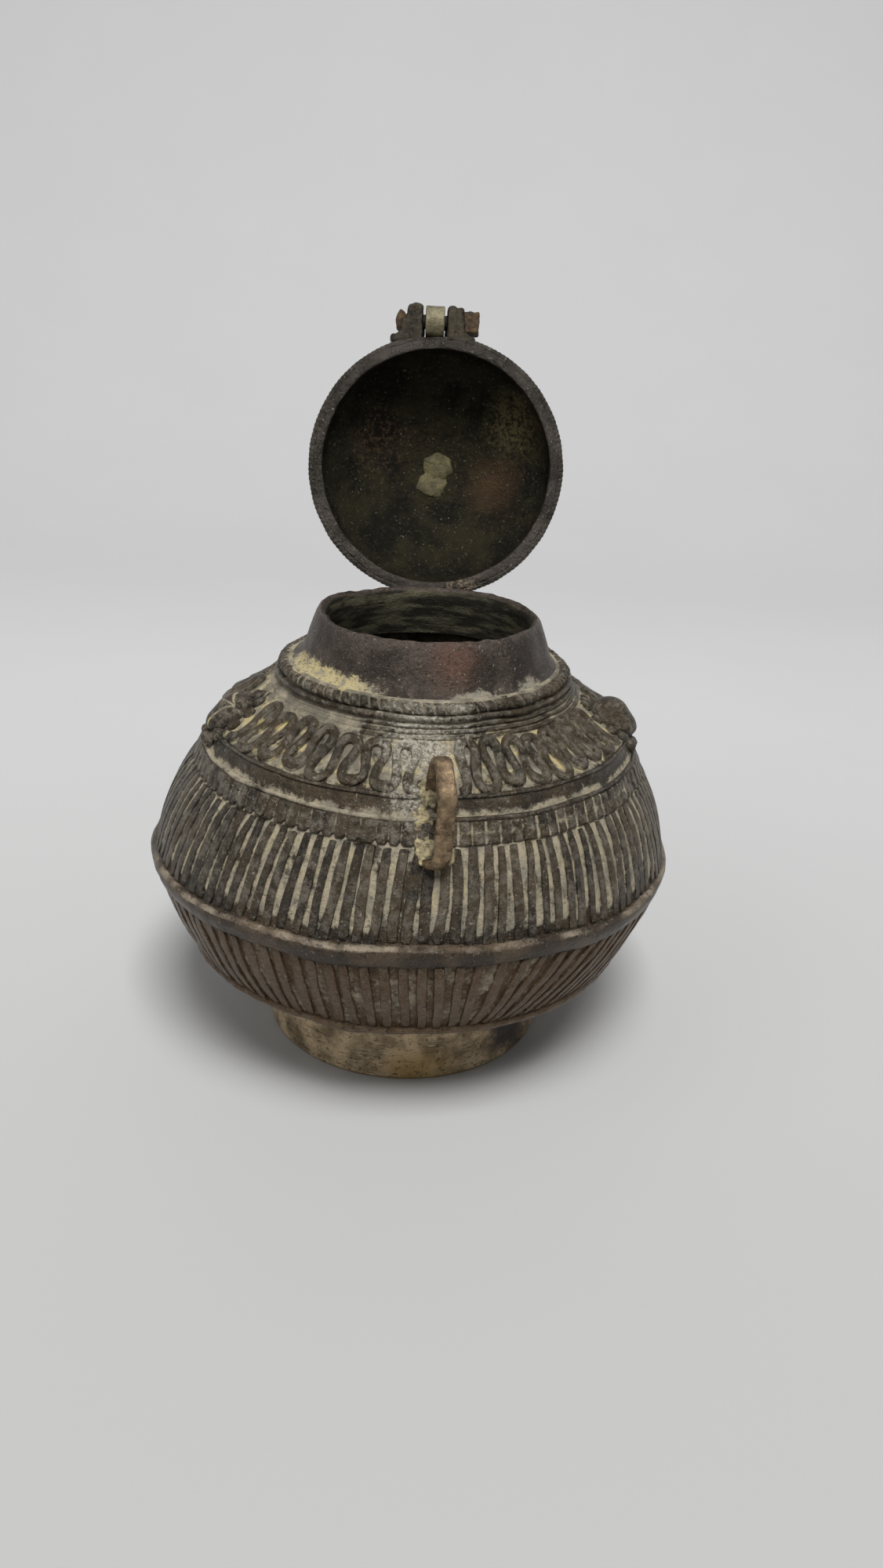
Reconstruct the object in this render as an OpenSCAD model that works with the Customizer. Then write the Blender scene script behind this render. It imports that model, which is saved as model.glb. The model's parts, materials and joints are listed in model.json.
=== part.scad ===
// Lidded bronze pot, cast over wax threads, with a hinged lid, a hasp and a staple.
// Origin: centre of the foot's underside. +Z up, the staple in front (-Y), the lid hinge behind (+Y).
// The lid stands open against its stop and the hasp hangs behind it, on the dome.

/* [Vessel heights] */
// Height of the foot ring
foot_h = 16.5; // [12:0.5:22]
// Height of the plain underside between the foot and the lower seam
under_h = 12; // [8:0.5:16]
// Height of the belly from the lower seam to the keel
lower_h = 27; // [20:0.5:36]
// Height of the belly from the keel to the notched band
upper_h = 23; // [18:0.5:30]
// Height of the notched band
notch_h = 5.3; // [4:0.1:7]
// Height of the plain girdle under the meander threads
girdle_h = 5.2; // [4:0.1:7]
// Height of the sloping shoulder
shoulder_h = 13; // [10:0.5:17]
// Height of the step between the shoulder and the neck
collar_h = 3; // [2:0.1:4]
// Height of the neck
neck_h = 12; // [10:0.5:16]

/* [Vessel radii] */
// Outer radius of the foot ring
foot_r = 38.3; // [32:0.1:46]
// Wall of the foot ring
foot_wall = 3; // [2:0.1:5]
// Radius of the belly at the lower seam
seam_r = 57.5; // [50:0.5:64]
// Radius of the belly at the keel
keel_r = 68.6; // [60:0.1:84]
// Radius at the foot of the notched band
notch_r = 59.4; // [56:0.1:66]
// Radius at the top of the notched band
girdle_r = 57.2; // [55:0.1:64]
// Radius at the top of the girdle
shoulder_r = 54; // [50:0.1:60]
// Radius at the top of the shoulder
collar_r = 37.2; // [36.5:0.1:44]
// Radius at the foot of the neck
neck_r = 32.2; // [31:0.1:35]
// Radius at the rim of the neck
rim_r = 29.2; // [27:0.1:31]
// Wall of the vessel and the neck
wall = 2.6; // [2:0.1:3.5]

/* [Lean] */
// How far the shoulder stands to the right of the foot's axis
shoulder_off = 1.6; // [0:0.1:2]
// How far the neck and the lid stand to the right of the foot's axis
neck_off = 3.3; // [0:0.1:3.6]
// How far the hasp's ears stand to the right of the foot's axis
ear_off = 1.4; // [0:0.1:4]
// How far the staple stands to the right of the foot's axis
staple_off = 6.3; // [3:0.1:7]

/* [Threads and ribs] */
// How far the keel band stands out from the belly
keel_band = 1.4; // [0.8:0.1:2.5]
// Height of the keel band
keel_band_h = 7; // [5:0.1:9]
// Radius of the cord round the foot of the neck
neck_cord_r = 1.5; // [1:0.1:2]
// Radius of the plain threads
thread_r = 0.85; // [0.5:0.05:1.1]
// Number of plain threads on the shoulder
shoulder_count = 3; // [2:1:3]
// Radius of the meander thread
meander_r = 0.8; // [0.5:0.05:1]
// Turn that one loop of the meander takes
meander_pitch = 8; // [7:0.5:12]
// Radius of the ribs
rib_r = 1.05; // [0.7:0.05:1.2]
// Number of ribs above the keel
upper_ribs_n = 120; // [80:1:140]
// Number of ribs below the keel
lower_ribs_n = 96; // [70:1:120]
// How far the notched band stands out
notch_out = 0.8; // [0.4:0.1:1.2]
// Radius of the dome of a side rosette
rosette_r = 5.6; // [4:0.1:6.5]
// Radius of a rosette's petals
petal_r = 2.1; // [1.5:0.1:2.4]
// Turn of the left rosette from the front
rosette_left_turn = 75; // [60:1:95]
// Turn of the right rosette from the front
rosette_right_turn = 84; // [60:1:95]

/* [Lid] */
// How far the closed lid laps over the neck
lid_lap = 8; // [3:0.1:8.5]
// Gap between the neck and the lid
lid_gap = 1.4; // [0.4:0.1:1.8]
// Wall of the lid
lid_wall = 2.8; // [2:0.1:3.6]
// Height of the lid's straight rim
lid_rim_h = 5.6; // [5.4:0.1:8]
// Rise of the dome above the rim
dome_h = 18.6; // [14:0.2:24]
// Radius of the threads on the lid
lid_thread_r = 0.8; // [0.5:0.1:1]
// Angle between the closed and the open lid
lid_open = 104.5; // [90:0.5:106]

/* [Rear hinge] */
// Radius of the hinge pin
hinge_pin_r = 1.6; // [1.2:0.05:2]
// Metal round the hinge pin
hinge_eye = 1.8; // [1.4:0.1:2.4]
// Width of the lid's knuckle
knuckle_w = 8; // [6:0.1:11]
// Thickness of each hinge lug
lug_t = 4; // [3:0.1:5]

/* [Hasp and staple] */
// Radius of the hasp's iron pin
hasp_pin_r = 2; // [1.5:0.05:2.4]
// Room between the hasp's barrel and the lid's rim
pin_stand = 1.14; // [0.9:0.01:3]
// Height of the hasp pin above the lid's edge
pin_h = 4; // [3:0.1:5]
// Width of each ear beside the hasp
ear_w = 4.9; // [3:0.1:6]
// Width of the hasp at its pin
hasp_w = 5.3; // [4:0.1:7]
// Thickness of the hasp
hasp_t = 1.8; // [1.4:0.1:2.2]
// Metal beside the hasp's slot
hasp_side = 2.7; // [2:0.1:4]
// Width of the staple's strip
staple_w = 4; // [3:0.1:5]
// Thickness of the staple's strip
staple_t = 2; // [1.5:0.1:2.4]
// Middle radius of the staple's arch
arch_r = 6; // [5:0.1:8]
// Height of the staple's straight bar
bar_h = 14; // [12:0.5:18]
// Middle radius of the staple's lower bend
bend_r = 3; // [2.5:0.1:4]

/* [Clearances] */
// Running clearance of a pin in what turns on it
run_gap = 0.06; // [0.03:0.01:0.1]
// Clearance of a pin in what holds it
hold_gap = 0.02; // [0.01:0.01:0.03]
// Gap between faces that pass each other
pass_gap = 0.4; // [0.3:0.05:0.8]
// Room round the staple in the hasp's slot
slot_gap = 1.5; // [0.6:0.1:1.8]
// Room at each end of the hasp's slot
slot_end = 2.4; // [2.2:0.1:4]

/* [Hidden] */
$fn = 96;

bronze = "#4b443b";
dark_bronze = "#3d3730";
brown_bronze = "#5a4636";
iron_rust = "#6f4630";
pale_brass = "#8f9078";
yellow_fill = "#b5a777";

// Heights and corners of the vessel's outline, as [radius, height]
seam = [seam_r, foot_h + under_h];
keel = [keel_r, seam.y + lower_h];
notch = [notch_r, keel.y + upper_h];
girdle = [girdle_r, notch.y + notch_h];
shoulder = [shoulder_r, girdle.y + girdle_h];
collar = [collar_r, shoulder.y + shoulder_h];
neck_z = collar.y + collar_h;
rim_z = neck_z + neck_h;
base_step = 2;
base_r = foot_r + base_step;
collar_top_r = neck_r + wall;
lower_bulge = 1.6;
upper_bulge = 1.2;
arc_steps = 8;
// How deep the fittings sink into the wall
root = 1.2;

// Places of the threads and bands, as shares of the stretch of outline that they sit on
seam_ring_share = 0.06;
rib_margin = 0.03;
lower_ribs_from = 0.24;
upper_ribs_to = 0.98;
band_margin = 0.06;
girdle_shares = [0.1, 0.92];
shoulder_shares = [0.69, 0.95];
neck_cord_share = 0.62;
rosette_share = 0.22;

// Geometry of outlines in the radius and height plane
function unit(v) = v / norm(v);
function right_of(v) = [v.y, -v.x];
function polar(r, a) = [r * cos(a), r * sin(a)];
function along(p, q, t) = p + (q - p) * t;
function bulge_radius(p, q, rise) = (pow(norm(q - p) / 2, 2) + rise * rise) / (2 * rise);
function bulge_centre(p, q, rise) =
    (p + q) / 2 - (bulge_radius(p, q, rise) - rise) * unit(right_of(q - p));
function angle_of(v) = atan2(v.y, v.x);
function bulge_points(p, q, rise, steps) =
    let (c = bulge_centre(p, q, rise), a = angle_of(p - c), b = angle_of(q - c))
    [for (i = [0:steps]) c + polar(norm(p - c), a + (b - a) * i / steps)];
function inset(points, depth) = [for (i = [0:len(points) - 1])
    let (before = points[max(i - 1, 0)], after = points[min(i + 1, len(points) - 1)])
    points[i] - depth * unit(right_of(after - before))];
// Radius of the belly between the keel and the notched band, at a height
function belly_radius(z) = let (c = bulge_centre(keel, notch, upper_bulge))
    c.x + sqrt(pow(bulge_radius(keel, notch, upper_bulge), 2) - pow(z - c.y, 2));
// Height of the shoulder's slope at a radius
function shoulder_height(r) = shoulder.y + (shoulder.x - r) / (shoulder.x - collar.x) * shoulder_h;

outer_outline = concat(
    [[0, foot_h], [base_r, foot_h]],
    bulge_points(seam, keel, lower_bulge, arc_steps),
    [for (i = [1:arc_steps]) bulge_points(keel, notch, upper_bulge, arc_steps)[i]],
    [girdle, shoulder, collar]);
// Places in the outline where one stretch of the wall ends and the next begins
base_at = 1;
seam_at = 2;
keel_at = seam_at + arc_steps;
notch_at = keel_at + arc_steps;
collar_at = notch_at + 3;
// The belly and the shoulder meet on a level face, so that the shoulder may stand off the belly's axis
level_wall = wall / unit(right_of(girdle - notch)).x;
inner_outline = [for (i = [0:len(outer_outline) - 1])
    i == notch_at ? notch - [level_wall, 0] : inset(outer_outline, wall)[i]];

// Lid at its closed place
lid_z = rim_z - lid_lap;
lap_r = rim_r + (neck_r - rim_r) * lid_lap / neck_h;
lid_in_r = lap_r + lid_gap;
lid_out_r = lid_in_r + lid_wall;
lid_edge_r = lid_out_r + lid_thread_r;
dome_r = (lid_out_r * lid_out_r + dome_h * dome_h) / (2 * dome_h);
dome_z = lid_rim_h + dome_h - dome_r;
lid_ring_angles = [48, 62, 76];
rim_thread_h = 0.3;
patch_r = 5.5;
patch_t = 1.2;
patch_sink = 0.8;

// Rear hinge
eye_r = hinge_pin_r + hinge_eye;
hinge_y = lid_edge_r + eye_r + pass_gap;
hinge_drop = 1;
hinge_z = lid_z - hinge_drop;
lug_in = knuckle_w / 2 + pass_gap;
lug_out = lug_in + lug_t;
pin_end = 1.2;
pin_head = 0.9;
lug_flare = 2;
stop_gap = 0.7;
stop_h = 1.2;
stop_t = 2.6;

// Hasp, seen in the plane of its swing: [distance from the lid's axis, height above the lid's edge]
barrel_r = hasp_pin_r + run_gap + hasp_t;
plate_off = barrel_r - hasp_t / 2;
pin_at = [lid_out_r + barrel_r + pin_stand, pin_h];
hasp_play = 0.85;
round_head = 2.2;
square_end = 3.8;
ear_gap = hasp_w / 2 + hasp_play;
ear_metal = 2;
ear_tip = 2.1;
ear_step = 0.7;
ear_round = hasp_pin_r + ear_metal;
ear_reach = ear_round + ear_tip;
dome_reach = dome_r + lid_thread_r + pass_gap - (barrel_r - hasp_t);
to_dome = [0, dome_z] - pin_at;
rest_angle = angle_of(to_dome) + 360 - asin(dome_reach / norm(to_dome));

// Staple, in the same plane of swing but from the foot's underside
leg_at = [shoulder_r - 1, shoulder_height(shoulder_r - 1)];
leg_h = 3.2;
arch_at = [leg_at.x + arch_r, leg_at.y + leg_h];
bar_r = arch_at.x + arch_r;
bend_at = [bar_r - bend_r, arch_at.y - bar_h];
staple_foot_z = bend_at.y - bend_r;
filler_lap = 1.4;
filler_r = staple_w / 2 + filler_lap;
filler_t = 1.8;
filler_swell = 0.6;

// The locked hasp lies half way between the body and the staple's bar
pin_closed = pin_at + [0, lid_z];
lock_at = [(girdle_r + thread_r + bar_r - staple_t / 2) / 2, arch_at.y - bar_h / 2];
to_lock = lock_at - pin_closed;
lock_angle = angle_of(to_lock) + asin(plate_off / norm(to_lock));
hasp_travel = rest_angle - lock_angle;
lock_dir = polar(1, lock_angle);
slot_w = staple_w + 2 * slot_gap;
// A round slot end leaves the strip's corners less room than its middle
corner_loss = (slot_w - sqrt(slot_w * slot_w - staple_w * staple_w)) / 2;
slot_room = slot_end + corner_loss;
slot_from = (arch_at - [arch_r, 0] - pin_closed) * lock_dir - staple_t / 2 - slot_room;
slot_to = ([bar_r, bend_at.y] - pin_closed) * lock_dir + slot_room;
hasp_round = slot_w / 2 + hasp_side;
hasp_neck = ear_reach + 2.4;

echo(hinge_y = hinge_y, hinge_z = hinge_z, lid_z = lid_z, pin_at = pin_at);
echo(rest_angle = rest_angle, lock_angle = lock_angle, hasp_travel = hasp_travel);
echo(slot_from = slot_from, slot_to = slot_to, hasp_length = slot_to - slot_w / 2 + hasp_round);

module turned(outline) { rotate_extrude() polygon(outline); }

module ring_thread(at, r) { rotate_extrude() translate(at) circle(r, $fn = 24); }

// A round rib along a bulged stretch of the outline, between two shares of that stretch
module bulge_rib(p, q, rise, from, to, r, turn) {
    c = bulge_centre(p, q, rise);
    a = angle_of(p - c);
    b = angle_of(q - c);
    rotate([0, 0, turn])
        translate([c.x, 0, c.y])
            rotate([90, 0, 0])
                rotate([0, 0, a + (b - a) * from])
                    rotate_extrude(angle = (b - a) * (to - from))
                        translate([norm(p - c), 0])
                            circle(r, $fn = 16);
}

module bulge_ribs(p, q, rise, from, to, r, count) {
    for (i = [0:count - 1]) bulge_rib(p, q, rise, from, to, r, 360 * i / count);
}

module open_lid() {
    translate([0, hinge_y, hinge_z])
        rotate([-lid_open, 0, 0])
            translate([0, -hinge_y, -hinge_z])
                children();
}

// What stands on the shoulder, on the neck, between the ears, or in line with the staple
module on_shoulder() { translate([shoulder_off, 0, 0]) children(); }
module on_neck() { translate([neck_off, 0, 0]) children(); }
module on_ears() { translate([ear_off, 0, 0]) children(); }
module on_staple() { translate([staple_off, 0, 0]) children(); }

// A flat outline of [radius, height] points set upright in line with the staple, w wide
module front_plate(w) {
    on_staple()
        rotate([90, 0, -90])
            translate([0, 0, -w / 2])
                linear_extrude(w)
                    children();
}

// A stretch of the cast wall, between two places in the outline and up to an optional lip
module wall_stretch(from, to, lip = []) {
    outer = [for (i = [from:to]) outer_outline[i]];
    inner = [for (i = [to:-1:from]) inner_outline[i]];
    turned(concat(outer, lip, inner));
}

module vessel_floor() { color(bronze) wall_stretch(0, base_at); }
module vessel_underside() { color(bronze) wall_stretch(base_at, seam_at); }
module lower_belly() { color(bronze) wall_stretch(seam_at, keel_at); }
module upper_belly() { color(bronze) wall_stretch(keel_at, notch_at); }

module vessel_shoulder() {
    lip = [[collar_top_r, neck_z], [neck_r - wall, neck_z]];
    color(bronze) on_shoulder() wall_stretch(notch_at, collar_at, lip);
}

module neck_collar() {
    color(bronze) on_neck()
        turned([[neck_r, neck_z], [rim_r, rim_z], [rim_r - wall, rim_z], [neck_r - wall, neck_z]]);
}

module foot_ring() {
    color(brown_bronze) difference() {
        cylinder(h = foot_h, r = foot_r);
        translate([0, 0, -1]) cylinder(h = foot_h + 2, r = foot_r - foot_wall);
    }
}

module foot_seam_ring() {
    color(bronze) ring_thread(along(seam, keel, seam_ring_share), neck_cord_r);
}

module keel_band_ring() {
    half = keel_band_h / 2;
    out = keel_r + keel_band;
    color(dark_bronze)
        turned([[keel_r - wall / 2, keel.y - half], [out - keel_band / 2, keel.y - half], [out, keel.y - half / 2],
            [out, keel.y + half / 3], [keel_r, keel.y + half], [keel_r - wall / 2, keel.y + half]]);
}

module upper_ribs() {
    start = keel_band_h / 2 / upper_h + rib_margin;
    color(dark_bronze) bulge_ribs(keel, notch, upper_bulge, start, upper_ribs_to, rib_r, upper_ribs_n);
}

module lower_ribs() {
    stop = 1 - keel_band_h / 2 / lower_h - rib_margin;
    color(dark_bronze) bulge_ribs(seam, keel, lower_bulge, lower_ribs_from, stop, rib_r, lower_ribs_n);
}

module notched_band() {
    out = notch_out * unit(right_of(girdle - notch));
    low = along(notch, girdle, band_margin);
    high = along(notch, girdle, 1 - band_margin);
    color(bronze) on_shoulder() turned([low - out, low + out, high + out, high - out]);
}

module girdle_threads() {
    color(bronze) on_shoulder()
        for (share = girdle_shares) ring_thread(along(girdle, shoulder, share), thread_r);
}

module shoulder_threads() {
    step = (shoulder_shares[1] - shoulder_shares[0]) / (shoulder_count - 1);
    color(bronze) on_shoulder()
        for (i = [0:shoulder_count - 1])
            ring_thread(along(shoulder, collar, shoulder_shares[0] + step * i), thread_r);
}

module neck_cord() {
    color(bronze) on_shoulder()
        ring_thread(along(collar, [collar_top_r, neck_z], neck_cord_share), neck_cord_r);
}

// One meander thread: a wave that runs round the shoulder's slope from one angle to another
meander_lift = 0.4;
meander_low = 0.07;
meander_high = 0.57;
meander_curl = 0.55;
meander_steps = 10;
meander_sides = 6;
meander_room = 0.42;
tangent_step = 0.001;
slope_out = unit(right_of(collar - shoulder));

function slope_point(a, t) = let (p = along(shoulder, collar, t) + slope_out * meander_lift)
    [p.x * sin(a), -p.x * cos(a), p.y];
function slope_normal(a) = [slope_out.x * sin(a), -slope_out.x * cos(a), slope_out.y];
function wave_angle(from, to, loops, u) = from + (to - from) * u
    + meander_curl * (to - from) / loops / 4 * sin(720 * loops * u);
function wave_point(from, to, loops, u) = slope_point(wave_angle(from, to, loops, u),
    (meander_low + meander_high) / 2 - (meander_high - meander_low) / 2 * cos(360 * loops * u));

module meander(from, to) {
    loops = round((to - from) / meander_pitch);
    rings = loops * meander_steps;
    points = [for (i = [0:rings]) let (
            u = i / rings,
            here = wave_point(from, to, loops, u),
            ahead = unit(wave_point(from, to, loops, u + tangent_step)
                - wave_point(from, to, loops, u - tangent_step)),
            out = slope_normal(wave_angle(from, to, loops, u)),
            side = unit(cross(ahead, out)),
            up = cross(side, ahead))
        for (k = [0:meander_sides - 1])
            here + meander_r * (cos(360 * k / meander_sides) * side + sin(360 * k / meander_sides) * up)];
    ring_faces = [for (i = [0:rings - 1], k = [0:meander_sides - 1]) let (
            a = i * meander_sides + k,
            b = i * meander_sides + (k + 1) % meander_sides)
        each [[a, b + meander_sides, b], [a, a + meander_sides, b + meander_sides]]];
    start_face = [for (k = [0:meander_sides - 1]) k];
    end_face = [for (k = [meander_sides - 1:-1:0]) rings * meander_sides + k];
    color(dark_bronze) on_shoulder() polyhedron(points, concat(ring_faces, [start_face, end_face]));
}

// Side rosettes: how far the dome sinks, and the room between it and its petals
rosette_sink = 0.25 * rosette_r;
petal_gap = 0.3;
petals = 9;
rosette_out = rosette_r + petal_gap + 2 * petal_r;

// Half angle that the meander leaves free beside a fitting of half width w at radius r
function free_half(w, r) = asin((w + meander_r + meander_room) / r);
rosette_half = free_half(rosette_out, along(shoulder, collar, rosette_share).x);
staple_half = free_half(filler_r, leg_at.x);
lugs_at_r = along(shoulder, collar, meander_high).x;
hinge_half = free_half(lug_out, lugs_at_r);
// Turns of the staple and the hinge round the shoulder's axis
staple_turn = asin((staple_off - shoulder_off) / leg_at.x);
hinge_turn = 180 - asin((neck_off - shoulder_off) / lugs_at_r);

left_turn = 360 - rosette_left_turn;

module meander_front_right() { meander(staple_turn + staple_half, rosette_right_turn - rosette_half); }
module meander_back_right() { meander(rosette_right_turn + rosette_half, hinge_turn - hinge_half); }
module meander_back_left() { meander(hinge_turn + hinge_half, left_turn - rosette_half); }
module meander_front_left() { meander(left_turn + rosette_half, 360 + staple_turn - staple_half); }

// A flower boss: a dome with a ring of petals, on the shoulder's slope, at a turn from the front to the right
module rosette(turn) {
    at = along(shoulder, collar, rosette_share);
    tilt = 90 - angle_of(slope_out);
    color(dark_bronze) on_shoulder()
        rotate([0, 0, turn - 90])
            translate([at.x, 0, at.y])
                rotate([0, tilt, 0]) {
                    translate([0, 0, -rosette_sink]) sphere(rosette_r, $fn = 48);
                    for (i = [0:petals - 1])
                        rotate([0, 0, 360 * i / petals])
                            translate([rosette_r + petal_gap + petal_r, 0, 0])
                                sphere(petal_r, $fn = 24);
                }
}

module rosette_left() { rosette(left_turn); }
module rosette_right() { rosette(rosette_right_turn); }

// A bent stretch of the staple's strip: the part of a flat ring that lies in the child's outline
module strip_bend(at, r) {
    translate(at) intersection() {
        difference() {
            circle(r + staple_t / 2);
            circle(r - staple_t / 2);
        }
        children();
    }
}

// The straight stretches run a hair into the bends, so that the strip is one piece
module staple_outline() {
    half = staple_t / 2;
    lap = 0.05;
    leg_z = leg_at.y - root;
    foot_end = belly_radius(staple_foot_z) - root;
    strip_bend(arch_at, arch_r) translate([-2 * arch_r, 0]) square([4 * arch_r, 2 * arch_r]);
    strip_bend(bend_at, bend_r) translate([0, -2 * bend_r]) square(2 * bend_r);
    translate([leg_at.x - half, leg_z]) square([staple_t, arch_at.y - leg_z + lap]);
    translate([bar_r - half, bend_at.y - lap]) square([staple_t, bar_h + 2 * lap]);
    translate([foot_end, staple_foot_z - half]) square([bend_at.x - foot_end + lap, staple_t]);
}

module staple() {
    color(brown_bronze) front_plate(staple_w) staple_outline();
}

// Filler packed round the two roots of the staple
module staple_filler() {
    foot_at = [belly_radius(staple_foot_z), staple_foot_z];
    belly_tilt = 90 - angle_of(foot_at - bulge_centre(keel, notch, upper_bulge));
    color(yellow_fill) on_staple() {
        translate([0, -leg_at.x, leg_at.y])
            rotate([90 - angle_of(slope_out), 0, 0])
                cylinder(h = filler_t, r = filler_r, center = true);
        translate([0, -foot_at.x, foot_at.y])
            rotate([belly_tilt, 0, 0])
                cylinder(h = filler_t + filler_swell, r = filler_r, center = true);
    }
}

// Outline of a hinge lug in the [y, z] plane, from the eye down into the shoulder
module lug_outline() {
    inner_y = hinge_y - eye_r;
    outer_y = hinge_y + eye_r + lug_flare;
    difference() {
        union() {
            translate([hinge_y, hinge_z]) circle(eye_r);
            polygon([[inner_y, hinge_z], [inner_y, shoulder_height(inner_y) - root],
                [outer_y, shoulder_height(outer_y) - root], [hinge_y + eye_r, hinge_z]]);
        }
        translate([hinge_y, hinge_z]) circle(hinge_pin_r + hold_gap);
    }
}

// The web behind the knuckle, which the open lid's tongue leans on
module stop_outline() {
    front = hinge_y + eye_r + stop_gap;
    back = front + stop_t;
    polygon([[front, hinge_z + stop_h], [front, shoulder_height(front) - root],
        [back, shoulder_height(back) - root], [back, hinge_z]]);
}

// An outline of [y, z] points set upright between two x values
module side_plate(from, to) {
    translate([from, 0, 0]) rotate([90, 0, 90]) linear_extrude(to - from) children();
}

module hinge_bracket() {
    color(bronze) on_neck() {
        side_plate(-lug_out, -lug_in) lug_outline();
        side_plate(lug_in, lug_out) lug_outline();
        side_plate(-lug_out, lug_out) stop_outline();
    }
}

module hinge_pin() {
    length = 2 * lug_out;
    color(iron_rust) on_neck()
        translate([0, hinge_y, hinge_z])
            rotate([0, 90, 0]) {
                cylinder(h = length + 2 * pin_end, r = hinge_pin_r, center = true);
                for (side = [-1, 1])
                    translate([0, 0, side * (length + pin_end) / 2])
                        cylinder(h = pin_end, r = hinge_pin_r + pin_head, center = true);
            }
}

// Straight rim and dome in one outline, with its own radii for the rim and the dome
module lid_outline(straight_r, round_r, from) {
    intersection() {
        translate([0, from]) square([straight_r, lid_rim_h + dome_h - from + 1]);
        translate([0, dome_z]) circle(round_r);
    }
}

// The lid's outside, filled in
module lid_form() { rotate_extrude() lid_outline(lid_out_r, dome_r, 0); }

module lid_shell() {
    color(bronze) open_lid() on_neck() translate([0, 0, lid_z]) difference() {
        lid_form();
        rotate_extrude() lid_outline(lid_in_r, dome_r - lid_wall, -1);
    }
}

module lid_rim_thread() {
    color(bronze) open_lid() on_neck() translate([0, 0, lid_z])
        ring_thread([lid_out_r, lid_thread_r + rim_thread_h], lid_thread_r);
}

module lid_rings() {
    color(bronze) open_lid() on_neck() translate([0, 0, lid_z])
        for (a = lid_ring_angles) ring_thread([0, dome_z] + polar(dome_r, a), lid_thread_r);
}

module lid_patch() {
    top = dome_z + dome_r - lid_wall;
    color(pale_brass) open_lid() on_neck()
        translate([0, 0, lid_z + top - patch_t])
            cylinder(h = patch_t + patch_sink, r = patch_r);
}

module lid_knuckle() {
    color(bronze) open_lid() on_neck() difference() {
        union() {
            translate([0, hinge_y, hinge_z])
                rotate([0, 90, 0])
                    cylinder(h = knuckle_w, r = eye_r, center = true);
            translate([-knuckle_w / 2, 0, lid_z]) cube([knuckle_w, hinge_y, hinge_z + eye_r - lid_z]);
        }
        translate([0, hinge_y, hinge_z])
            rotate([0, 90, 0])
                cylinder(h = knuckle_w + 2, r = hinge_pin_r + run_gap, center = true);
        cylinder(h = 2 * rim_z, r = lid_out_r);
    }
}

// One strip of an ear, drawn in the [radius, height] plane from within the lid's wall
module ear_outline(reach) {
    tip = pin_at.x + reach - ear_round;
    root = lid_out_r - lid_wall;
    difference() {
        union() {
            translate([tip, pin_at.y]) circle(ear_round);
            translate([root, pin_at.y - ear_round]) square([tip - root, 2 * ear_round]);
        }
        translate(pin_at) circle(hasp_pin_r + hold_gap);
    }
}

// An ear is two strips side by side, the outer one a little shorter, cut to the lid's outside
module hasp_ear(side) {
    strip = ear_w / 2;
    color(dark_bronze) open_lid() translate([0, 0, lid_z]) difference() {
        for (i = [0, 1])
            on_ears()
                translate([side * (ear_gap + strip * (i + 0.5)), 0, 0])
                    rotate([90, 0, -90])
                        linear_extrude(strip, center = true)
                            ear_outline(ear_reach - ear_step * i);
        on_neck() lid_form();
    }
}

module hasp_ear_left() { hasp_ear(-1); }
module hasp_ear_right() { hasp_ear(1); }

module hasp_pin() {
    ear_end = ear_gap + ear_w;
    square_w = 2 * (hasp_pin_r + pin_head);
    color(iron_rust) open_lid() on_ears()
        translate([0, -pin_at.x, lid_z + pin_at.y])
            rotate([0, 90, 0]) {
                cylinder(h = 2 * ear_end, r = hasp_pin_r, center = true);
                translate([0, 0, -ear_end - round_head]) cylinder(h = round_head, r = hasp_pin_r + pin_head);
                translate([0, 0, ear_end + square_end / 2])
                    cube([square_w, square_w, square_end], center = true);
            }
}

// The strap runs straight out between the ears, then bends aside to bring its slot in line with the staple
module hasp_plate_outline() {
    first = slot_from + slot_w / 2;
    last = slot_to - slot_w / 2;
    aside = staple_off - ear_off;
    lap = 0.1;
    difference() {
        union() {
            translate([-hasp_w / 2, 0]) square([hasp_w, hasp_neck]);
            hull() {
                translate([-hasp_w / 2, hasp_neck - lap]) square([hasp_w, lap]);
                translate([aside - hasp_w / 2, first]) square([hasp_w, lap]);
            }
            translate([aside - hasp_round, first]) square([2 * hasp_round, last - first]);
            translate([aside, first]) circle(hasp_round);
            translate([aside, last]) circle(hasp_round);
        }
        translate([aside - slot_w / 2, first]) square([slot_w, last - first]);
        translate([aside, first]) circle(slot_w / 2);
        translate([aside, last]) circle(slot_w / 2);
    }
}

module hasp_strap() {
    color(pale_brass) open_lid() on_ears()
        translate([0, -pin_at.x, lid_z + pin_at.y])
            rotate([180 - rest_angle, 0, 0])
                difference() {
                    union() {
                        rotate([0, 90, 0]) cylinder(h = hasp_w, r = barrel_r, center = true);
                        translate([0, 0, plate_off - hasp_t / 2]) linear_extrude(hasp_t) hasp_plate_outline();
                    }
                    rotate([0, 90, 0]) cylinder(h = hasp_w + 2, r = hasp_pin_r + run_gap, center = true);
                }
}

vessel_floor();
vessel_underside();
lower_belly();
upper_belly();
vessel_shoulder();
neck_collar();
foot_ring();
foot_seam_ring();
keel_band_ring();
upper_ribs();
lower_ribs();
notched_band();
girdle_threads();
shoulder_threads();
neck_cord();
meander_front_right();
meander_back_right();
meander_back_left();
meander_front_left();
rosette_left();
rosette_right();
staple();
staple_filler();
hinge_bracket();
hinge_pin();
lid_shell();
lid_rim_thread();
lid_rings();
lid_patch();
lid_knuckle();
hasp_ear_left();
hasp_ear_right();
hasp_pin();
hasp_strap();
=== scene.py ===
"""Looks of the lidded bronze pot: hand-laid threads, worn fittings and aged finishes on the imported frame."""
import json
import random
from contextlib import contextmanager
from math import acos, asin, atan2, copysign, cos, degrees, exp, pi, radians, remainder, sin, sqrt, tan

import bpy
import numpy as np
from mathutils import Matrix, Vector, noise


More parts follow.
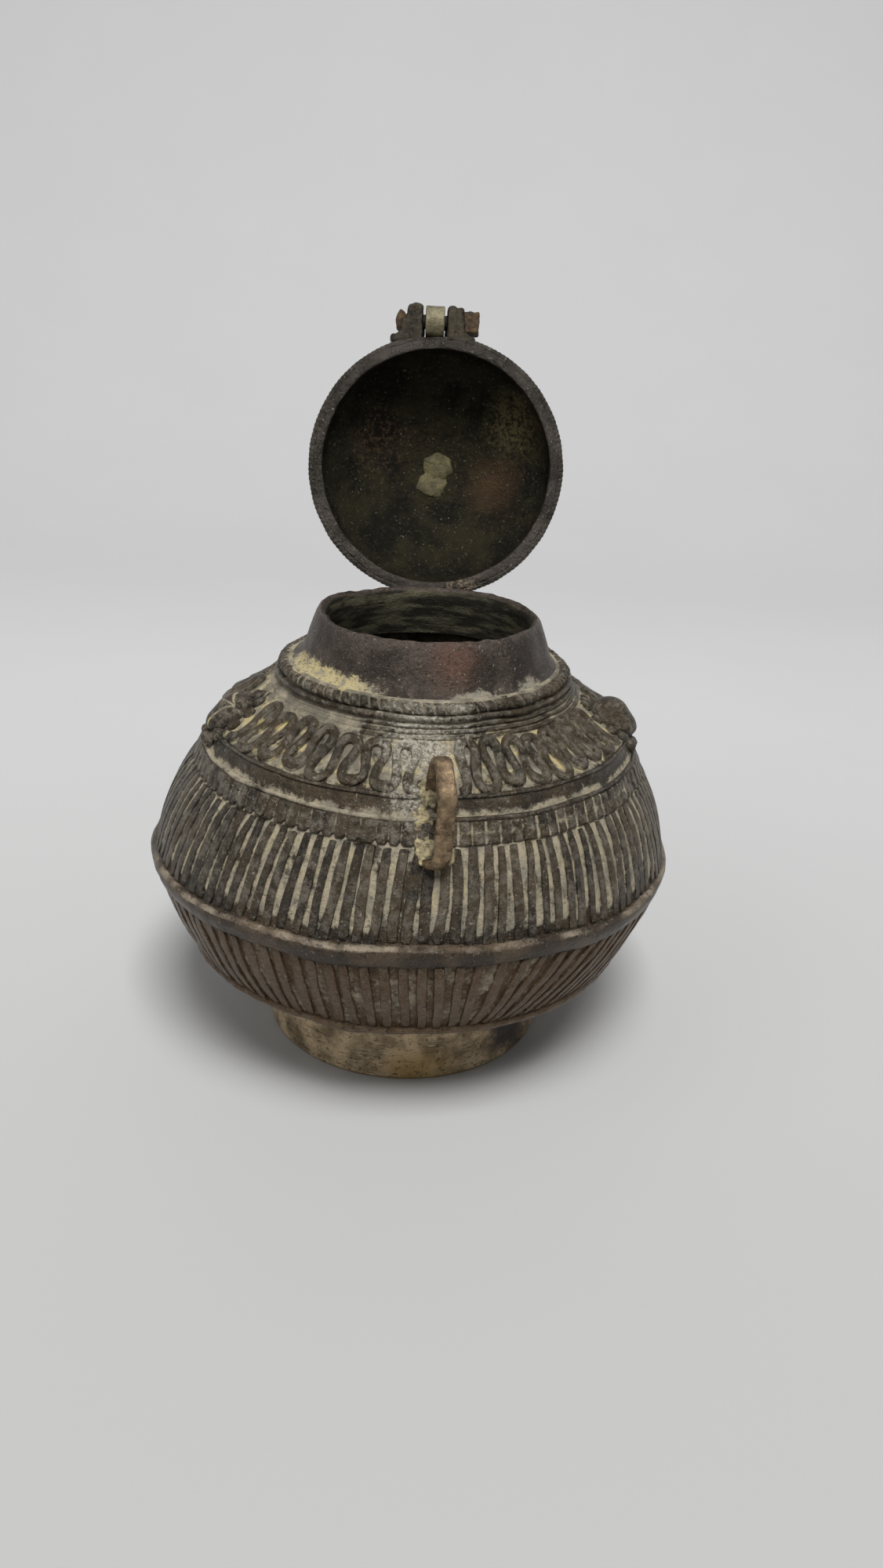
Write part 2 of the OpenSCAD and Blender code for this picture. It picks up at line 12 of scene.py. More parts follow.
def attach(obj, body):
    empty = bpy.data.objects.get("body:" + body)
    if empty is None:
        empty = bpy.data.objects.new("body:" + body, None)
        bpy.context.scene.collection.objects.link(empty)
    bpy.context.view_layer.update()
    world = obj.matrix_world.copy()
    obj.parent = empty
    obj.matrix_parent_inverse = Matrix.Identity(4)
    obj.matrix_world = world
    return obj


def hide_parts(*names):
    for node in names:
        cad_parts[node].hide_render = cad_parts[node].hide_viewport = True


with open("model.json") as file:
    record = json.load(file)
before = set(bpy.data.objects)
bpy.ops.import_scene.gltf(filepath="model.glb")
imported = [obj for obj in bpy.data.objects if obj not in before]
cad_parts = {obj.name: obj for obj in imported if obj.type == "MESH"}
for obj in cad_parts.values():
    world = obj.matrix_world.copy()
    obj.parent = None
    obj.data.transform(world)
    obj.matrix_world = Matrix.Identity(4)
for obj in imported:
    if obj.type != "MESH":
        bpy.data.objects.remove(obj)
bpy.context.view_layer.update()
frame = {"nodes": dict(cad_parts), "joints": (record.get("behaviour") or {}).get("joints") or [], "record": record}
bpy.ops.object.select_all(action="DESELECT")

MM = 0.001
FULL_TURN = 2 * pi

# Wall of the pot: the corners of its outline as (radius, height) in mm
BASE = (40.3, 16.5)
SEAM = (57.5, 28.5)
KEEL = (68.6, 55.5)
NOTCH = (59.4, 78.5)
GIRDLE = (57.2, 83.8)
SHOULDER = (54.0, 89.0)
COLLAR = (37.2, 102.0)
NECK_FOOT = (34.8, 105.0)
LOWER_BULGE = 1.6
UPPER_BULGE = 1.2
WALL = 2.6
RIM_Z = 117.0
FOOT_R = 38.3
FOOT_WALL = 3.0

# Lid: radii and heights above its edge
LID_IN_R = 32.6
LID_OUT_R = 35.4
LID_RIM_H = 5.6
LID_RISE = 18.6
LID_WALL = 2.8
DOME_R = (LID_OUT_R ** 2 + LID_RISE ** 2) / (2 * LID_RISE)
DOME_Z = LID_RIM_H + LID_RISE - DOME_R
LID_ABOVE_HINGE = 1.0

# Hasp: its pin on the lid, its turn at rest, its strap and curl, and the slot that fits over the staple
HASP_PIN_OUT = 40.4
HASP_PIN_H = 4.0
HASP_PIN_R = 2.0
HASP_REST = 35.838
HASP_W = 5.3
HASP_T = 1.8
HASP_OFF = 2.96
HASP_SIDE = 2.7
HASP_NECK = 8.5
CURL_HALF = 4.3
SLOT_FROM = 19.18
SLOT_TO = 44.67
SLOT_W = 7.0

# Ears, left (-1) and right (1): the width of a strip, its top above the pin, and how far it is cut back
EAR_GAP = 3.5
EAR_STRIPS = {-1: 3.05, 1: 2.6}
EAR_TOPS = {-1: 4.4, 1: 4.1}
EAR_CUTS = {-1: 1.9, 1: 0.6}

# Staple: where it leaves the wall, as (out, height), its runs as (length, bend), and its skew at their ends
STAPLE_OFF = 6.3
SHOULDER_OFF = 1.6
STAPLE_START = (53, 87.57)
STAPLE_ARCH_R = 6.0
STAPLE_BEND_R = 3.0
STAPLE_RUNS = ((5.5, 0), (pi * STAPLE_ARCH_R, -STAPLE_ARCH_R), (14.0, 0),
               (pi / 2 * STAPLE_BEND_R, -STAPLE_BEND_R), (2.4, 0))
STAPLE_SKEW = (-1.4, -1.0, 1.5, 1.0, -1.4, -2.0)
STAPLE_HALF_W = 2.1
STAPLE_HALF_T = 1.1

# Rosettes: their turns from the front to the right, their height and the radius of a boss
LEFT_ROSETTE = radians(-75)
RIGHT_ROSETTE = radians(84)
ROSETTE_Z = 91.4
BOSS_R = 5.6

# As near to the axis as a turned wall comes
AXIS_R = 0.4

joints = {joint["name"]: joint for joint in frame["joints"]}
hinge_at = Vector(joints["lid_hinge"]["pos_m"])
hasp_at = Vector(joints["hasp_hinge"]["pos_m"])
LID_ANGLE = radians(joints["lid_hinge"]["range_deg"][1])
NECK_OFF = hinge_at.x / MM
EAR_OFF = hasp_at.x / MM
LID_TURN = Matrix.Rotation(-LID_ANGLE, 4, "X")
LID_OPEN = Matrix.Translation(hinge_at) @ LID_TURN @ Matrix.Translation(-hinge_at)
LID_PLACE = LID_OPEN @ Matrix.Translation((hinge_at.x, 0, hinge_at.z + LID_ABOVE_HINGE * MM))
HASP_TURN = Matrix.Rotation(radians(HASP_REST) - LID_ANGLE, 4, "X")
HASP_PLACE = Matrix.Translation(hasp_at) @ HASP_TURN


# Places on the pot

def mm(*values):
    """A vector of millimetres, in metres."""
    return Vector(values) * MM


def turn_of(point):
    """How far a point is turned from the front to the right."""
    return atan2(point.x, -point.y)


def outward(turn):
    return Vector((sin(turn), -cos(turn), 0))


class Stretch:
    """A stretch of the wall's outline between two corners, (radius, height) in mm, bulging out by rise."""

    def __init__(self, low, high, rise=0.0):
        self.low = Vector(low)
        self.high = Vector(high)
        self.rise = rise
        way = self.high - self.low
        self.length = way.length
        self.side = Vector((way.y, -way.x)).normalized()
        if rise:
            self.round_r = (way.length ** 2 / 4 + rise ** 2) / (2 * rise)
            self.centre = (self.low + self.high) / 2 - self.side * (self.round_r - rise)

    def at(self, share, out=0.0):
        """The (radius, height) at a share of the way up, out from the wall."""
        if not self.rise:
            return self.low.lerp(self.high, share) + self.side * out
        first = self.low - self.centre
        last = self.high - self.centre
        start = atan2(first.y, first.x)
        angle = start + (atan2(last.y, last.x) - start) * share
        return self.centre + Vector((cos(angle), sin(angle))) * (self.round_r + out)


UNDERSIDE = Stretch(BASE, SEAM)
LOWER_BELLY = Stretch(SEAM, KEEL, LOWER_BULGE)
UPPER_BELLY = Stretch(KEEL, NOTCH, UPPER_BULGE)
NOTCHED = Stretch(NOTCH, GIRDLE)
PLAIN = Stretch(GIRDLE, SHOULDER)
SLOPE = Stretch(SHOULDER, COLLAR)
STEP = Stretch(COLLAR, NECK_FOOT)
WALL_STRETCHES = (UNDERSIDE, LOWER_BELLY, UPPER_BELLY, NOTCHED, PLAIN, SLOPE, STEP)


def turn_point(turn, radius, height):
    """A point at a turn from the front to the right, with radius and height in mm."""
    return mm(radius * sin(turn), -radius * cos(turn), height)


def on_wall(stretch, turn, share, out=0.0):
    radius, height = stretch.at(share, out)
    return turn_point(turn, radius, height)


def outline_points(density):
    """The wall's outline from the foot to the neck, with a density of points per mm."""
    points = [Vector(BASE)]
    for stretch in WALL_STRETCHES:
        count = max(2, round(stretch.length * density))
        points += [stretch.at((i + 1) / count) for i in range(count)]
    return points


class Skin:
    """The whole outline as one way from the foot to the neck, with normals softened at its corners."""

    def __init__(self, soft=8):
        points = np.array([tuple(p) for p in outline_points(density=4)])
        steps = np.diff(points, axis=0)
        self.ways = np.concatenate([[0], np.cumsum(np.hypot(steps[:, 0], steps[:, 1]))])
        self.points = points
        span = 2 * soft + 1
        along = np.pad(np.gradient(points, self.ways, axis=0), ((soft, soft), (0, 0)), "edge")
        out, up = (np.convolve(along[:, i], np.ones(span) / span, "valid") for i in (0, 1))
        self.normals = np.stack([up, -out], axis=1)

    def way_at(self, height):
        return float(np.interp(height, self.points[:, 1], self.ways))

    def at(self, turn, way, out):
        radius, height = (np.interp(way, self.ways, self.points[:, i]) for i in (0, 1))
        side = Vector([np.interp(way, self.ways, self.normals[:, i]) for i in (0, 1)]).normalized()
        return turn_point(turn, radius + side.x * out, height + side.y * out)

    def around(self, turn, height):
        """Lays a flat ornament, (across, up, out) in metres, on the wall round a place."""
        middle = self.way_at(height)
        radius = float(np.interp(middle, self.ways, self.points[:, 0]))

        def lay(point):
            across, up, out = (value / MM for value in point)
            return self.at(turn + across / radius, middle + up, out)

        return lay


SKIN = Skin()


def ease(value, low, high):
    """A smooth step from 0 at low to 1 at high."""
    share = min(1.0, max(0.0, (value - low) / (high - low)))
    return share * share * (3 - 2 * share)


def round_noise(turn, detail, seed):
    """Noise round the axis that closes on itself."""
    return noise.noise(Vector((detail * sin(turn), detail * cos(turn), seed)))


def blunt(value, power):
    """A sine or cosine made blunt, for rounded boxes."""
    return copysign(abs(value) ** power, value)


def track(start, ahead, runs, way):
    """The point that a way along a track of runs leads to, and the direction ahead there.

    A run is (length, bend): straight if bend is 0, else an arc of that radius, to the left if positive."""
    point = Vector(start)
    ahead = Vector(ahead)
    for length, bend in runs:
        here = min(way, length)
        way -= here
        if bend:
            aside = Vector((-ahead.y, ahead.x)) * bend
            spin = Matrix.Rotation(here / bend, 2)
            point += aside - spin @ aside
            ahead = spin @ ahead
        else:
            point += ahead * here
    return point, ahead


# Modelling

def named(name):
    """The active piece, under its name."""
    piece = bpy.context.object
    piece.name = name
    piece.data.name = name
    return piece


def start(name, add, **settings):
    """A new primitive, the only thing selected, under its name."""
    bpy.ops.object.select_all(action="DESELECT")
    add(**settings)
    return named(name)


def ball(name, segments, rings, radius=1):
    return start(name, bpy.ops.mesh.primitive_uv_sphere_add, segments=segments, ring_count=rings,
                 radius=radius)


def down(point):
    """The share of the way from pole to pole at which a point of a ball of radius 1 lies."""
    return acos(max(-1.0, min(1.0, point.z))) / pi


def settle():
    """Puts the place, turn and scale of the active piece into its mesh."""
    bpy.ops.object.transform_apply(location=True, rotation=True, scale=True)


def only(piece):
    bpy.ops.object.select_all(action="DESELECT")
    piece.select_set(True)
    bpy.context.view_layer.objects.active = piece


@contextmanager
def editing():
    """Edit mode on the active piece, with all of it selected."""
    bpy.ops.object.mode_set(mode="EDIT")
    bpy.ops.mesh.select_all(action="SELECT")
    yield
    bpy.ops.object.mode_set(mode="OBJECT")


def mould(piece, place):
    """Lays every point of a piece where place puts it."""
    for vertex in piece.data.vertices:
        vertex.co = place(vertex.co)
    piece.data.update()


def close_up(piece, merge=0.001):
    """Merges points within merge mm, closes holes and turns the faces outwards."""
    only(piece)
    with editing():
        bpy.ops.mesh.remove_doubles(threshold=merge * MM)
        bpy.ops.mesh.fill_holes(sides=0)
        bpy.ops.mesh.select_all(action="SELECT")
        bpy.ops.mesh.normals_make_consistent(inside=False)


def smooth(piece, angle):
    only(piece)
    bpy.ops.object.shade_smooth_by_angle(angle=radians(angle))


def modify(piece, kind, **settings):
    """Adds a modifier and applies it."""
    only(piece)
    modifier = piece.modifiers.new(kind.lower(), kind)
    for key, value in settings.items():
        setattr(modifier, key, value)
    bpy.ops.object.modifier_apply(modifier=modifier.name)


def join(name, pieces):
    only(pieces[0])
    for piece in pieces:
        piece.select_set(True)
    if len(pieces) > 1:
        bpy.ops.object.join()
    return named(name)


def copy_of(piece):
    """A copy with its own mesh."""
    twin = piece.copy()
    twin.data = piece.data.copy()
    bpy.context.scene.collection.objects.link(twin)
    return twin


def turned(name, outline, columns):
    """A turned wall: a circle extruded from point to point of its outline, (radius, height) in mm."""
    radius, height = outline[0]
    piece = start(name, bpy.ops.mesh.primitive_circle_add, vertices=columns, radius=radius * MM,
                  location=mm(0, 0, height))
    settle()
    with editing():
        for (r0, z0), (r1, z1) in zip(outline, outline[1:]):
            bpy.ops.mesh.extrude_region_move(TRANSFORM_OT_translate={"value": (0, 0, (z1 - z0) * MM)})
            bpy.ops.transform.resize(value=(r1 / r0, r1 / r0, 1), center_override=(0, 0, 0))
    close_up(piece, 0.02)
    return piece


def band(name, columns, rows, place, grooves=None):
    """A closed band: a rolled-up grid, its points laid by their turn and their angle in the section."""
    piece = start(name, bpy.ops.mesh.primitive_grid_add, x_subdivisions=columns, y_subdivisions=rows, size=2)
    mould(piece, lambda point: place(pi * point.x, pi * point.y))
    if grooves:
        note(piece, "groove", grooves)
    close_up(piece)
    return piece


def strip(name, around, along, place):
    """A closed strip: a ball, its points laid by their share from end to end and their angle around."""
    piece = ball(name, around, along)

    def lay(point):
        share = down(point)
        full = min(1.0, 6 * sin(pi * share)) ** 0.5
        return place(share, atan2(point.y, point.x), full)

    mould(piece, lay)
    close_up(piece)
    return piece


def lump(name, size, place, seed, rough=0.25, segments=40):
    """A hand-pressed lump with an uneven outline, of half sizes in mm, laid by place."""
    piece = ball(name, segments, segments // 2)

    def lay(point):
        swell = 1 + rough * noise.noise(point * 1.7 + Vector((seed, 0, 0)))
        swell += 0.4 * rough * noise.noise(point * 5 + Vector((0, seed, 0)))
        return place(point * Vector(size) * swell * MM)

    mould(piece, lay)
    close_up(piece)
    return piece


def block(name, size, centre, bevel):
    """A block of a size at a centre, in mm, with bevelled edges."""
    piece = start(name, bpy.ops.mesh.primitive_cube_add, size=1, location=mm(*centre))
    piece.scale = mm(*size)
    settle()
    with editing():
        bpy.ops.mesh.bevel(offset=bevel * MM, segments=4, affect="EDGES")
    return piece


def rod(name, radius, from_x, to_x, segments=32):
    """A rod along X through the origin, in mm."""
    piece = start(name, bpy.ops.mesh.primitive_cylinder_add, vertices=segments, radius=radius * MM,
                  depth=(to_x - from_x) * MM, location=mm((from_x + to_x) / 2, 0, 0), rotation=(0, pi / 2, 0))
    settle()
    return piece


def melt(name, parts, grain, soften=4):
    """Fuses parts into one skin with soft worn edges; grain is the size of its faces in mm."""
    piece = join(name, parts)
    modify(piece, "REMESH", mode="VOXEL", voxel_size=grain * MM)
    modify(piece, "SMOOTH", factor=0.5, iterations=soften)
    return piece


def dents(point, *layers):
    """How far a worn surface strays at a point, in mm; a layer of dents is (depth, size) in mm."""
    return sum(depth * noise.noise(point / (size * MM)) for depth, size in layers)


def roughen(piece, depth, size):
    """Corrodes a piece along its normals, with dents of a depth and a size in mm."""
    mesh = piece.data
    shifts = [v.normal * (dents(v.co, (depth, size)) * MM) for v in mesh.vertices]
    for vertex, shift in zip(mesh.vertices, shifts):
        vertex.co = vertex.co + shift
    mesh.update()


def worn_copy(node, name, edge):
    """A copy of a CAD node with its edges worn round by edge mm."""
    source = frame["nodes"][node]
    piece = copy_of(source)
    for key in [key for key in piece.keys() if key.startswith("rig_")]:
        del piece[key]
    piece.parent = None
    piece.data.transform(source.matrix_world)
    piece.matrix_world = Matrix.Identity(4)
    only(piece)
    named(name)
    with editing():
        bpy.ops.mesh.remove_doubles(threshold=0.005 * MM)
        bpy.ops.mesh.dissolve_limited(angle_limit=radians(1))
    modify(piece, "BEVEL", width=edge * MM, segments=3, limit_method="ANGLE", angle_limit=radians(40))
    return piece


# The maker's hand: how the casting strays from its true outline

LEAN_HEIGHTS = [54, 80, 104, 109, 118]
LEAN_AMOUNTS = [0, 1.6, 1.9, 2.6, 2.7]


def lean(height):
    """How far the casting leans to the right at a height, in mm."""
    return float(np.interp(height, LEAN_HEIGHTS, LEAN_AMOUNTS))


def hand(point):
    """The stray of the casting at a point, in metres."""
    turn = turn_of(point)
    height = point.z / MM
    free = ease(height, 8, 22) * ease(height, 108, 102)
    keel_near = exp(-((height - KEEL[1]) / 9) ** 2)
    keel_wave = 1.5 * cos(2 * turn) + 0.3 * sin(5 * turn + 0.4) + 0.25 * sin(11 * turn + 2)
    dent = dents(point, (0.45, 15), (0.16, 4.5))
    rough = dents(point, (0.2, 2.2)) * ease(height, 53, 47)
    sway = 0.3 * noise.noise(point / (11 * MM) + Vector((7, 3, 5)))
    sag = 2.4 * ease(height, 88, 95) * ease(height, 104, 98) + 0.9 * exp(-((height - 82) / 5) ** 2)
    out = outward(turn) * ((dent + rough) * free - sag)
    return (out + Vector((lean(height), 0, keel_near * keel_wave + sway * free))) * MM


def by_hand(piece):
    mould(piece, lambda point: point + hand(point))


# Where the pale deposit settles: heights on the pot in mm, and how thick it lies in the hollows there
DEPOSIT_HEIGHTS = [0, 28, 34, 52, 55, 59, 61, 77, 79, 83, 84, 85, 86.5, 89, 90, 97, 98.5, 102, 104.5, 106,
                   109]
DEPOSIT_AMOUNTS = [.1, .2, .34, .34, 0, .1, .75, .75, .6, .7, 1, .6, .1, .25, .75, .75, .6, .7, .95, .8, 0]

# How much more of it lies on the right below a height, and on the left above it
DEPOSIT_TURN_Z = 97
DEPOSIT_RIGHT = 0.3
DEPOSIT_LEFT = 0.6

# Where the deposit is yellow: by height, and at the neck only round a turn, as (middle, reach) in degrees
YELLOW_HEIGHTS = [60, 66, 76, 78, 88, 90, 97, 99, 103, 104, 108]
YELLOW_AMOUNTS = [0, .25, .25, .1, .1, 1, 1, 0, 0, 1, 1]
YELLOW_NECK_Z = 102.5
YELLOW_SIDE = (-52, 34)

# Where the ribs are worn away under the staple, as (turn, height), and how far round
WORN_SPOT = (radians(0.5), 71.5)
WORN_REACH = (radians(2.6), 3.4)


def worn_smooth(turn, height):
    """1 where the ribs are worn away under the staple, 0 elsewhere."""
    aside = (turn - WORN_SPOT[0]) / WORN_REACH[0]
    above = (height - WORN_SPOT[1]) / WORN_REACH[1]
    return exp(-aside ** 4 - above ** 4)


def proud(radius, height):
    """How far points of the pot stand out from the wall's outline, in mm."""
    outline = np.array([tuple(p) for p in outline_points(density=0.4)])
    here = np.stack([radius, height], axis=1)
    nearest = np.full(len(here), 1e9)
    signed = np.zeros(len(here))
    for low, high in zip(outline, outline[1:]):
        way = high - low
        share = np.clip(((here - low) @ way) / (way @ way), 0, 1)
        gap = here - (low + share[:, None] * way)
        away = np.hypot(gap[:, 0], gap[:, 1])
        side = np.sign(gap @ np.array([way[1], -way[0]]))
        closer = away < nearest
        nearest = np.where(closer, away, nearest)
        signed = np.where(closer, away * side, signed)
    return signed


def mesh_points(piece):
    """The points of a piece, in mm, as rows."""
    points = np.empty(len(piece.data.vertices) * 3)
    piece.data.vertices.foreach_get("co", points)
    return points.reshape(-1, 3) / MM


def mesh_turns(piece):
    """The turn, radius and height of the points of a piece, in mm."""
    x, y, z = mesh_points(piece).T
    return np.arctan2(x, -y), np.hypot(x, y), z


def note(piece, name, values):
    """Writes one number for each point of a piece, for its finish to read."""
    layer = piece.data.attributes.new(name, "FLOAT", "POINT")
    layer.data.foreach_set("value", np.asarray(values, dtype=np.float32))


def age(piece, full, clear):
    """Notes the deposit in the hollows and how far each point stands proud, read by the finish for worn crowns
    with a painted highlight and for painted shade on the flanks, then gives the piece its stray.

    The deposit is full where a point stands less than full mm out of the wall, and gone from clear mm on."""
    turn, radius, height = mesh_turns(piece)
    above = proud(radius, height)
    hollow = np.clip((clear - above) / (clear - full), 0, 1)
    worn_away = np.array([worn_smooth(t, h) for t, h in zip(turn, height)])
    left = np.exp(-((np.degrees(turn) - YELLOW_SIDE[0]) / YELLOW_SIDE[1]) ** 4)
    left = np.where(height > YELLOW_NECK_Z, left, 1.0)
    deposit = hollow * np.interp(height, DEPOSIT_HEIGHTS, DEPOSIT_AMOUNTS) * (1 - worn_away)
    to_right = 1.5 * np.sin(turn)
    deposit *= 1 + np.where(height < DEPOSIT_TURN_Z, DEPOSIT_RIGHT * np.clip(to_right, 0, 1),
                            DEPOSIT_LEFT * np.clip(-to_right, 0, 1))
    if "groove" in piece.data.attributes:
        groove = np.empty(len(turn), dtype=np.float32)
        piece.data.attributes["groove"].data.foreach_get("value", groove)
        deposit = np.maximum(deposit * 0.4, groove)
    note(piece, "deposit", deposit)
    note(piece, "yellow", np.interp(height, YELLOW_HEIGHTS, YELLOW_AMOUNTS) * left)
    # How far a point stands proud: worn crowns with a painted highlight, and painted shade on the flanks.
    note(piece, "wear_and_shade", np.clip((above - 0.15) / 0.5, 0, 1))
    by_hand(piece)


# Finishes

class Finish:
    """A material in the making, with short words for the nodes that it is made of."""

    def __init__(self, name, metallic=0.4, roughness=0.5):
        self.material = bpy.data.materials.new(name)
        self.material.use_nodes = True
        self.tree = self.material.node_tree
        self.shader = self.tree.nodes["Principled BSDF"]
        self.shader.inputs["Metallic"].default_value = metallic
        self.shader.inputs["Roughness"].default_value = roughness
        self.place = self.node("ShaderNodeTexCoord").outputs["Object"]

    def node(self, kind, **settings):
        node = self.tree.nodes.new(kind)
        for key, value in settings.items():
            setattr(node, key, value)
        return node

    def put(self, socket, value):
        """Links an output to a socket, or sets the socket's value."""
        if hasattr(value, "is_output"):
            self.tree.links.new(value, socket)
        else:
            socket.default_value = value

    def noise(self, size, detail=5.0, roughness=0.6, stretch=None, shift=0.0):
        """Cloudy noise with lumps of a size in mm, stretched by the inverse of a scale."""
        node = self.node("ShaderNodeTexNoise")
        node.inputs["Scale"].default_value = 1 / (size * MM)
        node.inputs["Detail"].default_value = detail
        node.inputs["Roughness"].default_value = roughness
        place = self.place
        if stretch or shift:
            mapping = self.node("ShaderNodeMapping")
            mapping.inputs["Scale"].default_value = stretch or (1, 1, 1)
            mapping.inputs["Location"].default_value = (shift, shift, shift)
            self.put(mapping.inputs["Vector"], place)
            place = mapping.outputs["Vector"]
        self.put(node.inputs["Vector"], place)
        return node.outputs["Fac"]

    def along(self, axis):
        """The place along one axis, in metres."""
        split = self.node("ShaderNodeSeparateXYZ")
        self.put(split.inputs[0], self.place)
        return split.outputs[axis]

    def attribute(self, name):
        return self.node("ShaderNodeAttribute", attribute_name=name).outputs["Fac"]

    def math(self, operation, a, b=0.0, c=0.0):
        node = self.node("ShaderNodeMath", operation=operation)
        for socket, value in zip(node.inputs, (a, b, c)):
            self.put(socket, value)
        return node.outputs[0]

    def times(self, a, b):
        return self.math("MULTIPLY", a, b)

    def plus(self, a, b):
        return self.math("ADD", a, b)

    def either(self, a, b):
        return self.math("MAXIMUM", a, b)

    def scaled(self, value, scale, shift):
        return self.math("MULTIPLY_ADD", value, scale, shift)

    def step(self, value, low, high):
        """A smooth step from 0 at low to 1 at high."""
        node = self.node("ShaderNodeMapRange", interpolation_type="SMOOTHSTEP")
        self.put(node.inputs["Value"], value)
        node.inputs["From Min"].default_value = low
        node.inputs["From Max"].default_value = high
        return node.outputs["Result"]

    def spot(self, centre, reach, soft=0.7, size=(1, 1, 1)):
        """1 near a place, (x, y, z) in mm, and 0 beyond its reach, with a ragged edge."""
        node = self.node("ShaderNodeMapping", vector_type="POINT")
        node.inputs["Scale"].default_value = [1 / (reach * MM * s) for s in size]
        node.inputs["Location"].default_value = [-c / (reach * s) for c, s in zip(centre, size)]
        self.put(node.inputs["Vector"], self.place)
        length = self.node("ShaderNodeVectorMath", operation="LENGTH")
        self.put(length.inputs[0], node.outputs["Vector"])
        ragged = self.scaled(self.noise(reach * 0.6), 0.9, -0.45)
        return self.step(self.plus(length.outputs["Value"], ragged), 1.0, 1.0 - soft)

    def mix(self, factor, a, b):
        """Colour a where factor is 0 and b where it is 1."""
        node = self.node("ShaderNodeMix", data_type="RGBA")
        self.put(node.inputs["Factor"], factor)
        for socket, colour in ((node.inputs[6], a), (node.inputs[7], b)):
            self.put(socket, colour if hasattr(colour, "is_output") else (*colour, 1))
        return node.outputs[2]

    def blend(self, value, low, high, a, b):
        """Colour a where a value is below low, b where it is above high."""
        return self.mix(self.step(value, low, high), a, b)

    def over(self, base, colour, mask, amount):
        """A colour laid over a base, by an amount, where the mask is 1."""
        return self.mix(self.times(mask, amount), base, colour)

    def grit_and_glints(self, metal):
        """Dark pits, and pale specks that are dust and also painted glints, over a metal."""
        metal = self.over(metal, PIT, self.step(self.noise(1.0, 3.0, shift=0.9), 0.57, 0.68), 0.7)
        metal = self.over(metal, DULL_SPECK, self.step(self.noise(0.5, 2.0, shift=0.8), 0.57, 0.7), 0.35)
        return self.over(metal, SPECK, self.step(self.noise(0.8, 2.0, 0.5, shift=0.2), 0.65, 0.73), 0.6)

    def colour(self, value):
        self.put(self.shader.inputs["Base Color"], value)

    def rough(self, value):
        self.put(self.shader.inputs["Roughness"], value)

    def dull(self, mask, smooth_value, dull_value):
        """A shine that gives way to dullness where the mask is 1."""
        self.rough(self.scaled(mask, dull_value - smooth_value, smooth_value))

    def bump(self, *heights, grain):
        """Relief in the finish: pairs of a height and its depth in mm, and the depth of a fine grain."""
        normal = None
        for height, depth in (*heights, (self.noise(0.45, 3.0), grain)):
            node = self.node("ShaderNodeBump")
            node.inputs["Distance"].default_value = depth * MM
            self.put(node.inputs["Height"], height)
            if normal:
                self.put(node.inputs["Normal"], normal)
            normal = node.outputs["Normal"]
        self.put(self.shader.inputs["Normal"], normal)


DARK = (0.026, 0.0195, 0.0115)
BROWN = (0.07, 0.049, 0.027)
WARM_BROWN = (0.125, 0.07, 0.031)
GREY = (0.088, 0.077, 0.057)
# Rubbed crowns: worn bronze, lightened further as a painted highlight
WORN_HIGHLIGHT = (0.17, 0.148, 0.115)
# Painted shade for the flanks of ribs and threads
FLANK_SHADE = (0.007, 0.0058, 0.004)
PIT = (0.007, 0.006, 0.0045)
DULL_SPECK = (0.16, 0.145, 0.12)
SPECK = (0.32, 0.285, 0.225)
BEIGE = (0.40, 0.35, 0.255)
STONE = (0.28, 0.255, 0.20)
DIRT = (0.09, 0.078, 0.057)
DUST = (0.13, 0.117, 0.09)
YELLOW = (0.50, 0.425, 0.235)
YELLOW_DIRT = (0.16, 0.138, 0.095)
CRUST = (0.48, 0.45, 0.375)
CRUST_DIRT = (0.17, 0.15, 0.115)
OCHRE = (0.38, 0.25, 0.09)
REDDISH = (0.13, 0.062, 0.038)
# Painted shade: black for the shaded gap between the hasp's ears
GAP_SHADE = (0.006, 0.005, 0.004)


